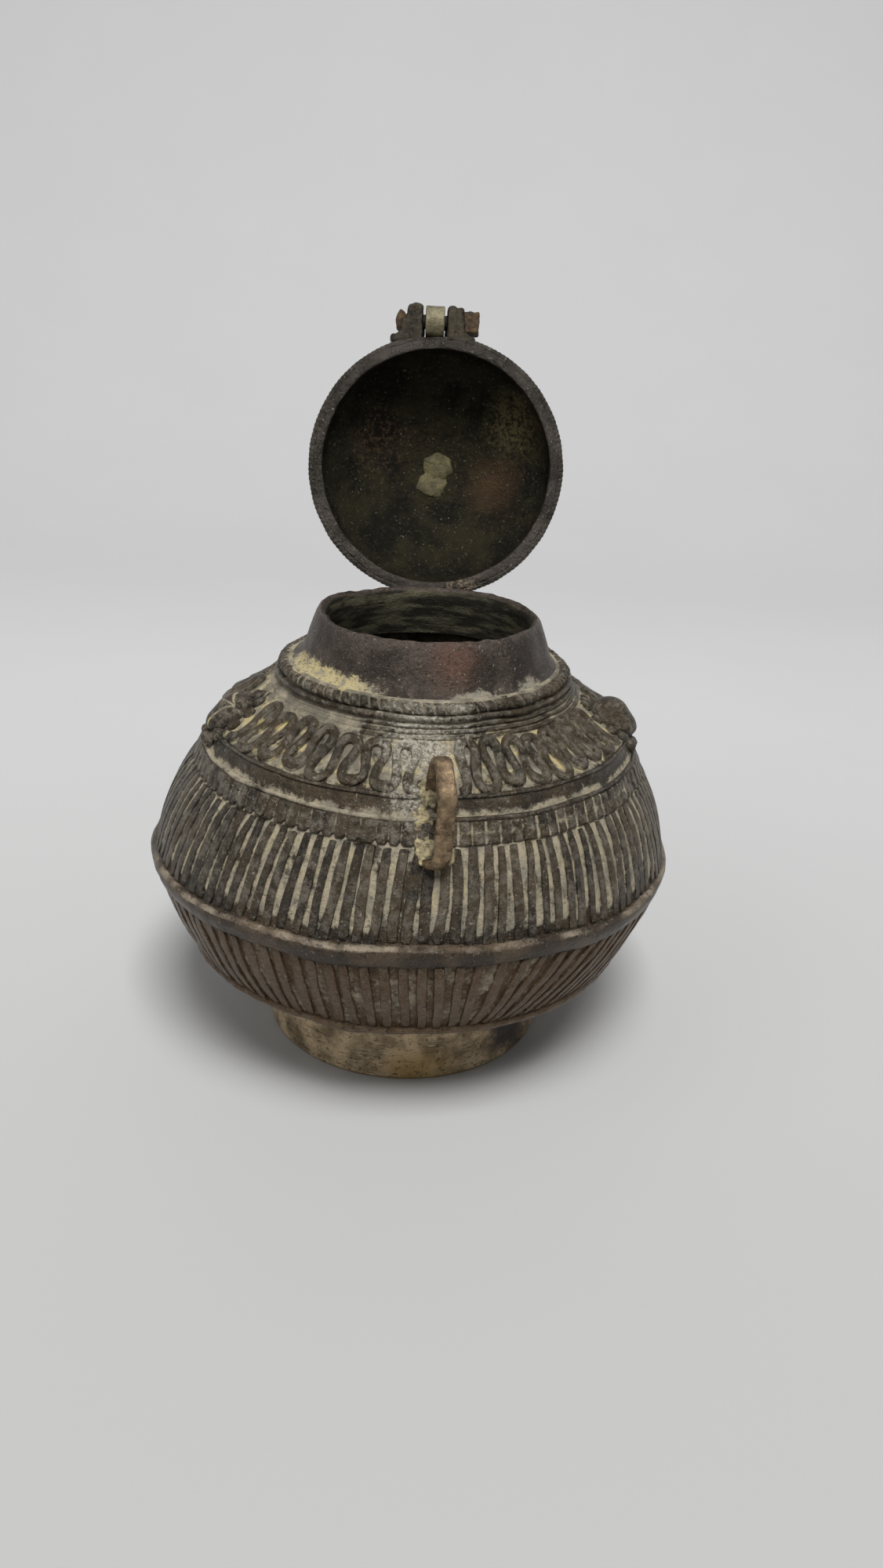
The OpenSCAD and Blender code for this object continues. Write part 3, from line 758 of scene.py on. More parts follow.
def pot_bronze():
    """Dark bronze with brown and grey clouds, painted shade on the flanks of what stands proud, rubbed crowns that
    are worn and painted as highlights, pale deposit in the hollows and crust over the staple.
    """
    f = Finish("pot_bronze", 0.6)
    cloud = f.noise(13)
    fine = f.noise(1.5, 6.0, 0.7)
    height = f.along("Z")
    metal = f.blend(cloud, 0.38, 0.62, DARK, BROWN)
    metal = f.over(metal, GREY, f.step(f.noise(4.5, shift=0.3), 0.48, 0.7), 0.7)
    crown = f.attribute("wear_and_shade")
    # Painted shade: the flanks between hollow and crown are darkened nearly to black.
    metal = f.over(metal, FLANK_SHADE, f.times(f.step(crown, 0.02, 0.15), f.step(crown, 0.7, 0.3)), 0.85)
    # Crowns are rubbed pale in patches: worn, and also a painted highlight.
    rubbed_highlight = f.times(crown, f.step(f.noise(2.6, 5.0, 0.7, shift=0.45), 0.44, 0.62))
    metal = f.over(metal, WORN_HIGHLIGHT, rubbed_highlight, 0.8)
    metal = f.grit_and_glints(f.over(metal, WARM_BROWN, f.step(height, 0.056, 0.05), 0.6))
    gaps = f.scaled(f.noise(5, stretch=(1, 1, 0.4), shift=0.7), 4.4, -1.05)
    lie = f.plus(f.times(f.attribute("deposit"), gaps), f.scaled(fine, 1.4, -0.7))
    mask = f.step(lie, 0.30, 0.8)
    pale = f.blend(f.noise(5, 3.0, shift=0.1), 0.36, 0.6, STONE, BEIGE)
    pale = f.over(pale, DIRT, f.step(f.noise(1.6, 5.0, 0.7, shift=0.35), 0.5, 0.68), 0.7)
    dusty = f.times(f.step(height, 0.088, 0.091), f.step(f.noise(7, 4.0, shift=0.65), 0.62, 0.42))
    pale = f.over(pale, DUST, dusty, 0.7)
    pale = f.over(pale, YELLOW, f.attribute("yellow"), f.step(f.noise(5, 3.0, shift=0.5), 0.5, 0.62))
    near = f.either(f.spot((2, -42, 98), 23, 1.0), f.times(f.spot((0, -54, 88), 11, 1.0), 0.85))
    ragged = f.plus(f.noise(1.1, 6.0, 0.75), f.times(f.noise(4, 4.0, shift=0.15), 0.7))
    crust = f.times(f.step(f.scaled(near, 0.6, ragged), 1.08, 1.4), 0.95)
    chalk = f.blend(f.noise(0.8, 6.0, 0.75, shift=0.25), 0.4, 0.58, CRUST_DIRT, CRUST)
    f.colour(f.mix(crust, f.mix(mask, metal, pale), chalk))
    f.dull(f.either(mask, crust), 0.32, 0.85)
    f.bump((cloud, 0.8), (fine, 1.0), grain=0.35)
    return f.material


def keel_bronze():
    """Dark smooth bronze with a paler upper edge, worn and painted as a highlight where light from above falls."""
    f = Finish("keel_bronze", 0.6)
    cloud = f.noise(9)
    fine = f.noise(1.4, 6.0, 0.7)
    metal = f.blend(cloud, 0.4, 0.62, (0.038, 0.027, 0.017), (0.092, 0.064, 0.039))
    # The upper bevel is lightened: partly worn bronze, partly a painted highlight where light from above falls.
    edge = f.step(f.plus(f.attribute("bevel"), f.scaled(fine, 0.8, -0.4)), 0.35, 0.85)
    edge = f.times(edge, f.step(f.noise(8, 4.0, shift=0.4), 0.4, 0.62))
    f.colour(f.grit_and_glints(f.over(metal, (0.29, 0.24, 0.175), edge, 0.9)))
    f.dull(edge, 0.32, 0.45)
    f.bump((cloud, 0.7), (fine, 0.7), grain=0.25)
    return f.material


def neck_bronze():
    """Purple-brown bronze, reddish in front, greenish streaks inside, yellow deposit at its foot."""
    f = Finish("neck_bronze", 0.6)
    cloud = f.noise(8)
    fine = f.noise(1.3, 6.0, 0.7)
    inside = f.attribute("inside")
    metal = f.blend(cloud, 0.36, 0.64, (0.026, 0.0195, 0.0145), (0.068, 0.051, 0.039))
    metal = f.grit_and_glints(f.over(metal, REDDISH, f.spot((9, -30, 113), 9, 0.9), 0.6))
    metal = f.over(metal, (0.13, 0.10, 0.085), f.times(f.attribute("rim"), f.step(fine, 0.42, 0.6)), 0.5)
    streak = f.noise(4, stretch=(0.35, 0.35, 1.6))
    metal = f.mix(inside, metal, f.blend(streak, 0.42, 0.62, (0.018, 0.0155, 0.009), (0.11, 0.1, 0.062)))
    yellow = f.attribute("yellow")
    pale = f.over(STONE, YELLOW, yellow, f.step(f.noise(4, 3.0), 0.36, 0.56))
    pale = f.blend(f.noise(0.9, 6.0, 0.75, shift=0.3), 0.48, 0.36, pale, YELLOW_DIRT)
    patches = f.either(f.spot((15, -33, 104.5), 7, 0.8, (1.6, 1, 0.6)), f.spot((28, -22, 105), 7, 0.8))
    amount = f.times(f.attribute("deposit"), f.either(yellow, f.scaled(patches, 0.8, 0.25)))
    lie = f.times(amount, f.scaled(f.noise(7, 3.0, shift=0.4), 2.4, -0.3))
    mask = f.step(f.plus(lie, f.scaled(fine, 2.0, -1.0)), 0.3, 0.75)
    mask = f.times(mask, f.math("SUBTRACT", 1.0, inside))
    f.colour(f.mix(mask, metal, pale))
    f.dull(f.either(mask, inside), 0.38, 0.75)
    f.bump((cloud, 0.8), (fine, 0.8), grain=0.3)
    return f.material


def foot_bronze():
    """Brown bronze with fine scratches, ochre at the lower edge and a smooth dark patch on the right, its clouds
    and scratches painted pale as light reflected onto the foot.
    """
    f = Finish("foot_bronze", 0.55)
    cloud = f.noise(8)
    fine = f.noise(1.2, 6.0, 0.7)
    scratch = f.step(f.noise(2.2, 4.0, 0.7, stretch=(0.5, 0.5, 4.0)), 0.56, 0.66)
    deep = f.step(f.noise(2.0, 4.0, 0.7, stretch=(0.5, 0.5, 3.5), shift=0.6), 0.56, 0.66)
    # Painted light: these clouds and scratches are far paler than the pot's bronze, standing in for light
    # reflected onto the foot.
    metal = f.blend(cloud, 0.36, 0.64, (0.22, 0.16, 0.09), (0.66, 0.505, 0.31))
    metal = f.over(metal, (0.72, 0.60, 0.42), scratch, 0.85)
    metal = f.over(metal, (0.045, 0.034, 0.022), deep, 0.7)
    metal = f.over(metal, OCHRE, f.spot((4, -38, 3), 15, 0.9, (1, 1, 0.6)), 0.85)
    metal = f.grit_and_glints(f.mix(f.spot((30, -24, 10), 12, 0.6), metal, (0.06, 0.05, 0.044)))
    f.colour(f.mix(f.attribute("edge"), metal, (0.3, 0.2, 0.06)))
    f.rough(f.scaled(cloud, 0.3, 0.3))
    f.bump((cloud, 0.6), (fine, 0.7), (scratch, 0.08), grain=0.25)
    return f.material


def lid_bronze():
    """Grey-purple satin bronze with pale specks, very dark within, smeared with olive and brown."""
    f = Finish("lid_bronze", 0.8)
    cloud = f.noise(7)
    fine = f.noise(1.2, 6.0, 0.7)
    inside = f.attribute("inside")

    def lid_spot(place, reach, soft=1.0):
        """A spot at a place on the lid, which is given as if the lid lay flat, in mm."""
        return f.spot(LID_PLACE @ mm(*place) / MM, reach, soft)

    rim = f.grit_and_glints(f.blend(cloud, 0.36, 0.64, (0.033, 0.028, 0.023), (0.08, 0.069, 0.058)))
    inner = f.blend(f.noise(11, shift=0.2), 0.4, 0.64, (0.0075, 0.0065, 0.004), (0.026, 0.022, 0.011))
    inner = f.over(inner, (0.09, 0.053, 0.029), lid_spot((-15, -8, 14), 16), f.step(fine, 0.46, 0.64))
    inner = f.over(inner, (0.085, 0.048, 0.024), lid_spot((17, 2, 15), 12), 0.8)
    inner = f.over(inner, (0.21, 0.17, 0.08), lid_spot((23, -14, 10), 14), f.step(fine, 0.4, 0.62))
    inner = f.over(inner, (0.05, 0.041, 0.019), f.step(fine, 0.5, 0.66), 0.55)
    # Pale specks within: dust, and also painted glints.
    inner = f.over(inner, SPECK, f.step(f.noise(0.7, 2.0, 0.5, shift=0.6), 0.66, 0.73), 0.5)
    crust = f.times(lid_spot((9, 34, 0), 8, 0.9), f.step(fine, 0.46, 0.58))
    f.colour(f.mix(crust, f.mix(inside, rim, inner), (0.24, 0.19, 0.13)))
    f.dull(f.either(inside, crust), 0.4, 0.5)
    f.bump((cloud, 0.9), (fine, 1.0), grain=0.3)
    return f.material


def mottled(name, dark, light, metallic, roughness, size=6.0, depth=0.3):
    """A finish of two shades in clouds, with a fine grain, painted black as shade where a piece marks the shaded
    gap between the hasp's ears.
    """
    f = Finish(name, metallic, roughness)
    cloud = f.noise(size)
    fine = f.noise(1.1, 6.0, 0.7)
    shade = f.blend(f.plus(f.times(cloud, 0.65), f.times(fine, 0.35)), 0.38, 0.62, dark, light)
    # Painted shade: black where a piece marks the gap between the ears
    f.colour(f.mix(f.attribute("gap_shade"), shade, GAP_SHADE))
    f.rough(f.scaled(fine, 0.3, roughness - 0.15))
    f.bump((cloud, depth), (fine, 2 * depth), grain=0.5 * depth)
    return f.material


POT_BRONZE = pot_bronze()
KEEL_BRONZE = keel_bronze()
NECK_BRONZE = neck_bronze()
FOOT_BRONZE = foot_bronze()
LID_BRONZE = lid_bronze()
EAR_BRONZE = mottled("ear_bronze", (0.013, 0.01, 0.0055), (0.05, 0.04, 0.0245), 0.6, 0.45, 3.5)
HINGE_BRONZE = mottled("hinge_bronze", (0.028, 0.021, 0.014), (0.08, 0.06, 0.04), 0.6, 0.45)
STAPLE_BRONZE = mottled("staple_bronze", (0.07, 0.046, 0.026), (0.3, 0.212, 0.126), 0.75, 0.27, 3.5, 0.2)
RUSTY_IRON = mottled("rusty_iron", (0.024, 0.0135, 0.007), (0.092, 0.052, 0.018), 0.1, 0.75, 2.5, 0.4)
PALE_BRASS = mottled("pale_brass", (0.09, 0.076, 0.04), (0.21, 0.184, 0.107), 0.35, 0.5, 3.5, 0.2)
PALE_SOLDER = mottled("pale_solder", (0.038, 0.031, 0.009), (0.092, 0.076, 0.026), 0.15, 0.6, 3.0, 0.2)
YELLOW_FILLER = mottled("yellow_filler", (0.12, 0.098, 0.062), (0.46, 0.385, 0.215), 0.0, 0.9, 1.6, 0.5)


def hand_in(piece, angle, body, slot, finish, *nodes):
    """Smooths a piece up to an angle, gives it its material and its body, and hides the CAD nodes that it stands
    for.
    """
    smooth(piece, angle)
    piece.data.materials.clear()
    piece.data.materials.append(finish)
    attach(piece, body)
    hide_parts(*nodes)


def cast(piece, full, clear, angle, *nodes):
    """Ages a part of the pot's casting and hands it in."""
    age(piece, full, clear)
    hand_in(piece, angle, "pot", "dark_bronze", POT_BRONZE, *nodes)


# Pot

def vessel():
    """The cast wall, from the floor to the foot of the neck, with its inside."""
    base_z = BASE[1]
    floor_z = base_z + WALL
    outline = [(AXIS_R, base_z), (20, base_z)] + [tuple(p) for p in outline_points(density=0.65)]
    outline.append((NECK_FOOT[0] - 2 * WALL, NECK_FOOT[1]))
    for stretch in reversed(WALL_STRETCHES):
        count = max(2, round(stretch.length * 0.3))
        outline += [tuple(stretch.at(1 - (i + 0.5) / count, -WALL)) for i in range(count)]
    outline += [(38, floor_z), (20, floor_z), (AXIS_R, floor_z)]
    cast(turned("vessel_wall", outline, 256), 0.3, 0.9, 50,
         "vessel_floor", "vessel_underside", "lower_belly", "upper_belly", "vessel_shoulder")


def neck():
    """The neck: a concave foot, a wall that leans in and a thin rounded rim that is worn uneven."""
    outside = [(36.0, 104.2), (34.4, 104.8), (33.0, 105.7), (32.0, 107), (31.3, 109), (30.5, 111.5),
               (29.6, 114), (28.8, 115.8), (28.3, 116.6)]
    inside = [(27.7, RIM_Z), (26.9, 116.7), (26.4, 115.8), (26.4, 114), (27.2, 110.5), (28.3, 107),
              (29.2, 103.5)]
    piece = turned("neck_wall", outside + inside + outside[:1], 224)
    radius, height = mesh_turns(piece)[1:]
    inner_r = np.interp(height, [103.5, 107, 110.5, 114, 117], [29.4, 28.5, 27.4, 26.6, 26.3])
    note(piece, "inside", (radius < inner_r + 0.4).astype(float))
    note(piece, "rim", np.clip((height - 115) / 1.5, 0, 1))

    def worn(point):
        turn = turn_of(point)
        side = degrees(turn)
        top = ease(point.z / MM, 107, 116)
        wobble = 0.3 * round_noise(turn, 1.6, 3) + 0.2 * round_noise(turn, 7, 5)
        chip = 0.35 * round_noise(turn, 9, 8) + 0.4 * round_noise(turn, 2.2, 12)
        chip += 0.9 * ease(side, -62, -70) * ease(side, -150, -110)
        out = outward(turn) * (wobble * top + dents(point, (0.3, 7), (0.12, 2.4)))
        return point + (out + Vector((0, 0, chip * top))) * MM

    mould(piece, worn)
    age(piece, 0.4, 3.0)
    hand_in(piece, 50, "pot", "dark_bronze", NECK_BRONZE, "neck_collar")


def foot():
    """The foot ring, a little hollow in the middle of its height, with a thin bright lower edge."""
    top = BASE[1] + 0.4
    inner = FOOT_R - FOOT_WALL
    outside = [(FOOT_R + out, height) for out, height in
               ((-0.5, 0), (-0.1, 0.3), (0, 0.9), (0, 2.5), (-0.2, 5), (-0.3, 8), (-0.2, 11), (0, 13.5),
                (0.5, 15.5), (1.4, top))]
    within = [(inner, top), (inner, 8), (inner, 0.4), (inner + 0.4, 0)]
    piece = turned("foot_wall", outside + within + outside[:1], 192)
    note(piece, "edge", np.clip((0.7 - mesh_points(piece)[:, 2]) / 0.5, 0, 1))

    def worn(point):
        dent = dents(point, (0.35, 9), (0.15, 2.5)) * ease(point.z / MM, 0.2, 4)
        return point + outward(turn_of(point)) * (dent * MM)

    mould(piece, worn)
    hand_in(piece, 50, "pot", "brown_bronze", FOOT_BRONZE, "foot_ring")


def keel_band():
    """The ridge round the keel: a narrow bevel above and a dark face below."""
    corners = [Vector(corner) for corner in ((-4.0, -1.2), (-4.0, 0.35), (-3.2, 0.95), (-1.0, 1.4),
                                             (0.5, 1.45), (1.2, 1.1), (1.9, 0.05), (2.0, -1.2))]

    def place(turn, section):
        spot = (section / FULL_TURN + 0.5) % 1.0 * len(corners)
        before = corners[int(spot) % len(corners)]
        after = corners[(int(spot) + 1) % len(corners)]
        up, out = before.lerp(after, spot - int(spot))
        if out > 0:
            out *= 1 + 0.25 * round_noise(turn, 4, 2)
        up += 0.35 * round_noise(turn, 9, 4) + 0.2 * round_noise(turn, 24, up)
        stretch = UPPER_BELLY if up > 0 else LOWER_BELLY
        share = up / stretch.length if up > 0 else 1 + up / stretch.length
        return on_wall(stretch, turn, share, out)

    piece = band("keel_ridge", 360, 24, place)
    # The bevel note marks the upper bevel, which the finish lightens as a painted highlight.
    height = mesh_points(piece)[:, 2] - KEEL[1]
    note(piece, "bevel", np.clip((height - 0.3) / 0.6, 0, 1) * np.clip((2.0 - height) / 0.6, 0, 1))
    by_hand(piece)
    hand_in(piece, 60, "pot", "dark_bronze", KEEL_BRONZE, "keel_band_ring")


def ribs(name, node, stretch, count, reach, width, height, slant, seed):
    """Flat ribs laid side by side up the belly, each a little out of true; slant gives a lean for a turn."""
    rng = random.Random(seed)
    model = ball(name, 8, 14)
    middle_r = stretch.at(sum(reach) / 2).x
    laid = []
    for i in range(count):
        rib = copy_of(model)
        turn = FULL_TURN * (i + rng.uniform(-0.12, 0.12)) / count
        side = remainder(turn, FULL_TURN)
        low, high = (end + rng.uniform(-0.015, 0.015) for end in reach)
        half = width / 2 * rng.uniform(0.88, 1.1) * (1 + 0.15 * round_noise(turn, 3, seed))
        half *= 1.12 - 0.12 * ease(degrees(side), -40, -10)
        tall = height * rng.uniform(0.8, 1.15)
        tilt = tan(radians(slant(degrees(side)) + rng.uniform(-1.5, 1.5))) * stretch.length
        ripple = rng.uniform(0, FULL_TURN)

        def lay(point):
            along = down(point)
            around = atan2(point.y, point.x)
            share = low + (high - low) * (0.5 + 0.5 * cos(pi * along))
            end = sin(pi * along) ** 0.15 if 0.001 < along < 0.999 else 0.0
            radius, level = stretch.at(share)
            rugged = 1 + 0.22 * noise.noise(Vector((turn * 40, 9 * share, copysign(2, cos(around)))))
            across = half * rugged * radius / middle_r * blunt(cos(around), 0.6) * end
            across += tilt * (share - 0.5) + 0.16 * sin(7 * along + ripple)
            out = tall * blunt(sin(around), 0.4) * end * (1 - 0.9 * worn_smooth(side, level))
            return on_wall(stretch, turn + across / radius, share, out)

        mould(rib, lay)
        laid.append(rib)
    bpy.data.objects.remove(model)
    piece = join(name, laid)
    close_up(piece)
    cast(piece, 0.02, 0.27, 55, node)


def upright(turn):
    """The upper ribs stand nearly straight."""
    return 1.0


def swept(turn):
    """The lower ribs lean over to the right on the right side of the pot."""
    return -3 + 34 * ease(turn, 8, 34) * ease(turn, 120, 70)


def notched_band():
    """A ribbon cut into cells: two rows on the right of the staple, one row with scallops on the left."""
    cells = 116
    out = 0.95
    grooves = []

    def place(turn, section):
        up = blunt(cos(section), 0.5)
        face = sin(section)
        cell = cells * turn / FULL_TURN + 0.25 * round_noise(turn, 9, 1)
        groove = (0.5 + 0.5 * cos(FULL_TURN * cell)) ** 6
        side = degrees(turn)
        rows = ease(side, 6, 10) * ease(side, 75, 60)
        split = rows * exp(-((up + 0.1) / 0.16) ** 2)
        worn = 0.8 + 0.2 * ease(round_noise(turn, 5, 7), -0.3, 0.2)
        cut = worn * max((0.45 + 0.35 * rows) * groove, 0.8 * split) if face > 0 else 0
        scallop = 0.16 * groove * ease(-up, 0, 1) * (1 - rows)
        grooves.append((0.45 + 0.4 * rows) * max(groove ** 2, split ** 2) if face > 0 else 0.0)
        return on_wall(NOTCHED, turn, 0.5 + 0.47 * up + scallop, out * blunt(face, 0.45) * (1 - cut))

    cast(band("notched_ribbon", cells * 10, 20, place, grooves), 0.1, 0.5, 60, "notched_band")


def thread(name, stretch, share, radius, seed, columns=256, stray=0.2, cells=0, cut=0.0, slant=0.0, sunk=None,
           pale=None):
    """A thread round the pot, perhaps cut into slanted cells; sunk and pale are functions of its turn."""
    grooves = []

    def place(turn, section):
        up = radius * sin(section)
        out = radius * cos(section)
        groove = 0.0
        if cells:
            phase = cells * turn + slant * sin(section)
            groove = (0.5 + 0.5 * cos(phase)) ** 4
            out *= 1 - cut * groove
        grooves.append(max(0.85 * groove, pale(degrees(turn)) if pale else 0.0))
        if sunk:
            out -= radius * sunk(degrees(turn))
        fat = 1 + 0.2 * round_noise(turn, 7, seed + 9)
        along = stray * round_noise(turn, 3, seed) + 0.4 * stray * round_noise(turn, 14, seed)
        return on_wall(stretch, turn, share + (up * fat + along) / stretch.length, out * fat)

    return band(name, columns, 12, place, grooves if cells or pale else None)


def fade_left(turn):
    """The fine threads sink into the wall on the left of the pot."""
    return 0.75 * ease(turn, -12, -30) * ease(turn, -140, -110)


def pale_left(turn):
    """A crust lies on the thread over the notched ribbon, from the left boss to the staple."""
    return 0.15 + 0.6 * ease(turn, -85, -60) * ease(turn, 6, 0)


def threads():
    girdle = [thread("girdle", PLAIN, 0.06, 0.7, 1, pale=pale_left), thread("girdle", PLAIN, 0.95, 0.55, 2)]
    shoulder = [thread("shoulder", SLOPE, 0.93, 1.15, 3, stray=0.3)]
    for i, share in enumerate((0.665, 0.74, 0.82)):
        shoulder.append(thread("shoulder", SLOPE, share, 0.6, 4 + i, sunk=fade_left))
    cord = [thread("cord", STEP, 0.42, 1.65, 8, 900, 0.15, cells=90, cut=0.8, slant=1.8)]
    seam = [thread("seam", LOWER_BELLY, 0.06, 1.4, 9, stray=0.6)]
    for name, node, rolls in (("girdle_lines", "girdle_threads", girdle),
                              ("shoulder_lines", "shoulder_threads", shoulder),
                              ("neck_twist", "neck_cord", cord), ("seam_roll", "foot_seam_ring", seam)):
        cast(join(name, rolls), 0.1, 0.75, 60, node)


def meander(name, node, first, last, loops, seed):
    """A thread that winds up and down the shoulder in loops with narrow necks."""
    rng = random.Random(seed)
    steps = 24
    low = 0.06
    high = 0.59
    curl = [rng.uniform(0.14, 0.23) for _ in range(2 * loops + 2)]
    reach = [rng.uniform(-0.045, 0.045) for _ in range(2 * loops + 2)]
    points = []
    for i in range(loops * steps + 1):
        u = i / steps
        half = int(2 * u + 0.5)
        swing = -cos(FULL_TURN * u)
        share = (low + high) / 2 + swing * ((high - low) / 2 + reach[half])
        aside = curl[int(2 * u)] * sin(2 * FULL_TURN * u)
        turn = first + (last - first) * (u + aside) / loops
        points.append(on_wall(SLOPE, turn, share, 0.3))
    curve = start(name, bpy.ops.curve.primitive_nurbs_path_add).data
    curve.splines.clear()
    spline = curve.splines.new("NURBS")
    spline.points.add(len(points) - 1)
    for knot, point in zip(spline.points, points):
        knot.co = (*point, 1)
        knot.radius = 1 + 0.35 * noise.noise(point / (3.5 * MM))
    spline.use_endpoint_u = True
    spline.order_u = 3
    curve.bevel_depth = 1.25 * MM
    curve.bevel_resolution = 2
    curve.resolution_u = 2
    curve.use_fill_caps = True
    bpy.ops.object.convert(target="MESH")
    piece = named(name)
    close_up(piece, 0.005)
    cast(piece, 0.1, 0.75, 60, node)


def meanders():
    staple_turn = asin((STAPLE_OFF - SHOULDER_OFF) / STAPLE_START[0])
    by_staple = radians(5.0)
    by_boss = radians(12.8)
    rear = radians(178)
    by_hinge = radians(12.8)
    meander("meander_right", "meander_front_right", staple_turn + by_staple, RIGHT_ROSETTE - by_boss, 8, 21)
    meander("meander_rear_right", "meander_back_right", RIGHT_ROSETTE + by_boss, rear - by_hinge, 8, 22)
    meander("meander_rear_left", "meander_back_left", rear + by_hinge,
            FULL_TURN + LEFT_ROSETTE - by_boss, 9, 23)
    meander("meander_left", "meander_front_left", LEFT_ROSETTE + by_boss, staple_turn - by_staple, 7, 24)


def rosette(name, node, turn, raised, split_from, seed):
    """A big boss with oval pellets round it, and fine grooves that spread over it from one side."""
    rng = random.Random(seed)
    pellets = 12
    groove_turns = (158, 202, 246)
    grooves = []
    dome = ball(name, 128, 64, BOSS_R)

    def split(point):
        groove = 0.0
        if split_from:
            way = point.xy - Vector(split_from)
            angle = degrees(atan2(way.y, way.x))
            for line in groove_turns:
                swing = remainder(angle - line, 360)
                off = way.length * sin(radians(swing))
                groove = max(groove, exp(-(off / 0.3) ** 2) * ease(abs(swing), 60, 30))
        grooves.append(groove * ease(point.z, 0, 1))
        return mm(point.x, point.y, point.z + raised - 0.25 * groove * ease(point.z, 0, 2))

    mould(dome, split)
    note(dome, "groove", grooves)
    parts = [dome]
    for i in range(pellets):
        angle = FULL_TURN * (i + rng.uniform(-0.15, 0.15)) / pellets
        long = rng.uniform(1.7, 2.2)
        wide = rng.uniform(1.3, 1.6)
        tall = 1.9 - 0.9 * ease(sin(angle), 0.2, 0.7)
        place = Matrix.Rotation(angle, 4, "Z") @ Matrix.Translation(mm(BOSS_R + 0.15 + long, 0, 0.15))
        place = place @ Matrix.Rotation(rng.uniform(-0.25, 0.25), 4, "Z")
        parts.append(lump("pellet", (long, wide, tall), lambda p: place @ p, seed + i, 0.1, 14))
    piece = join(name, parts)
    mould(piece, SKIN.around(turn, ROSETTE_Z))
    close_up(piece)
    cast(piece, 0.3, 1.0, 70, node)


# Staple and hinge

def staple():
    """A worn strip bent into a loop, a little skewed."""
    ends = np.cumsum([0] + [length for length, bend in STAPLE_RUNS])

    def place(share, around, full):
        way = share * float(ends[-1])
        middle, ahead = track(STAPLE_START, (0, 1), STAPLE_RUNS, way)
        skew = float(np.interp(way, ends, STAPLE_SKEW))
        swell = full * (1 + 0.08 * noise.noise(Vector((share * 9, 1, 2))))
        across = STAPLE_HALF_W * blunt(cos(around), 0.7) * swell
        out = STAPLE_HALF_T * blunt(sin(around), 0.75) * swell
        point = middle + Vector((-ahead.y, ahead.x)) * out
        return mm(STAPLE_OFF + skew + across, -point.x, point.y)

    piece = strip("staple_loop", 24, 90, place)
    roughen(piece, 0.12, 3)
    hand_in(piece, 60, "pot", "brown_bronze", STAPLE_BRONZE, "staple")


def filler():
    """Earthy filler pressed round the staple's roots and smeared on the wall beside its bar."""
    def against(side, height):
        flat = SKIN.around(radians(side), height)

        def lay(point):
            spot = flat(point)
            return spot + hand(spot)

        return lay

    lumps = [lump("filler", (3.4, 3.2, 1.0), against(3.2, 89.5), 1, 0.4),
             lump("filler", (2.3, 4.4, 0.9), against(1.4, 83.0), 2, 0.6),
             lump("filler", (3.4, 3.0, 1.5), against(2.4, 77.4), 3, 0.5),
             lump("filler", (1.1, 2.2, 1.3), against(7.4, 77.0), 4, 0.4)]
    piece = melt("filler_lumps", lumps, 0.3, 2)
    roughen(piece, 0.5, 1.2)
    hand_in(piece, 70, "pot", "yellow_filler", YELLOW_FILLER, "staple_filler")


def rear_hinge():
    for node, name, edge, body, slot, finish in (
            ("hinge_bracket", "hinge_lugs", 0.5, "pot", "dark_bronze", HINGE_BRONZE),
            ("hinge_pin", "hinge_rivet", 0.3, "pot", "rusty_iron", RUSTY_IRON),
            ("lid_knuckle", "lid_tongue", 0.4, "lid", "dark_bronze", HINGE_BRONZE)):
        hand_in(worn_copy(node, name, edge), 40, body, slot, finish, node)


# Lid

def lid():
    """The domed shell, turned, with a satin edge and a dark inside."""
    inner_dome = DOME_R - LID_WALL

    def arc(dome, corner, share):
        """A point of a dome's outline at a share of the way from its corner to its top."""
        angle = corner + (pi / 2 - corner) * share
        return max(AXIS_R, dome * cos(angle)), DOME_Z + dome * sin(angle)

    shares = [i / 18 for i in range(19)]
    within = [arc(inner_dome, acos(LID_IN_R / inner_dome), 1 - share) for share in shares]
    outside = [arc(DOME_R, acos(LID_OUT_R / DOME_R), share) for share in shares]
    edge = [(LID_IN_R, 3), (LID_IN_R, 0.7), (LID_IN_R + 0.15, 0.2), (LID_IN_R + 0.6, 0), (LID_OUT_R - 0.5, 0),
            (LID_OUT_R - 0.1, 0.25), (LID_OUT_R, 0.8), (LID_OUT_R, 3)]
    piece = turned("lid_dome", within + edge + outside, 224)
    radius, height = mesh_turns(piece)[1:]
    hollow = np.hypot(radius, height - DOME_Z) < inner_dome + 0.3
    note(piece, "inside", (hollow & (radius < LID_IN_R + 0.1) & (height > 0.5)).astype(float))

    def worn(point):
        turn = turn_of(point)
        dent = dents(point, (0.25, 9), (0.1, 2.6))
        low = ease(point.z / MM, 2.0, 0.0) * (0.2 * round_noise(turn, 12, 3) + 0.15 * round_noise(turn, 3, 6))
        return point + (outward(turn) * dent + Vector((0, 0, low + 0.5 * dent))) * MM

    mould(piece, worn)
    piece.data.transform(LID_PLACE)
    hand_in(piece, 50, "lid", "dark_bronze", LID_BRONZE, "lid_shell")


def lid_ring(name, radius, height, thick, cells, cut, bare=0.0):
    """A notched ring round the lid's axis, which may be thinned under the hasp's curl."""
    def place(turn, section):
        aside = (radius * remainder(turn, FULL_TURN) + NECK_OFF - EAR_OFF) / EAR_GAP
        grip = 1 - cut * (0.5 + 0.5 * cos(cells * turn)) ** 3
        grip *= 1 - bare * exp(-aside ** 8)
        fat = thick * grip * (1 + 0.15 * round_noise(turn, 8, radius))
        return turn_point(turn, radius + fat * cos(section), height + fat * sin(section))

    return band(name, cells * 6, 10, place)


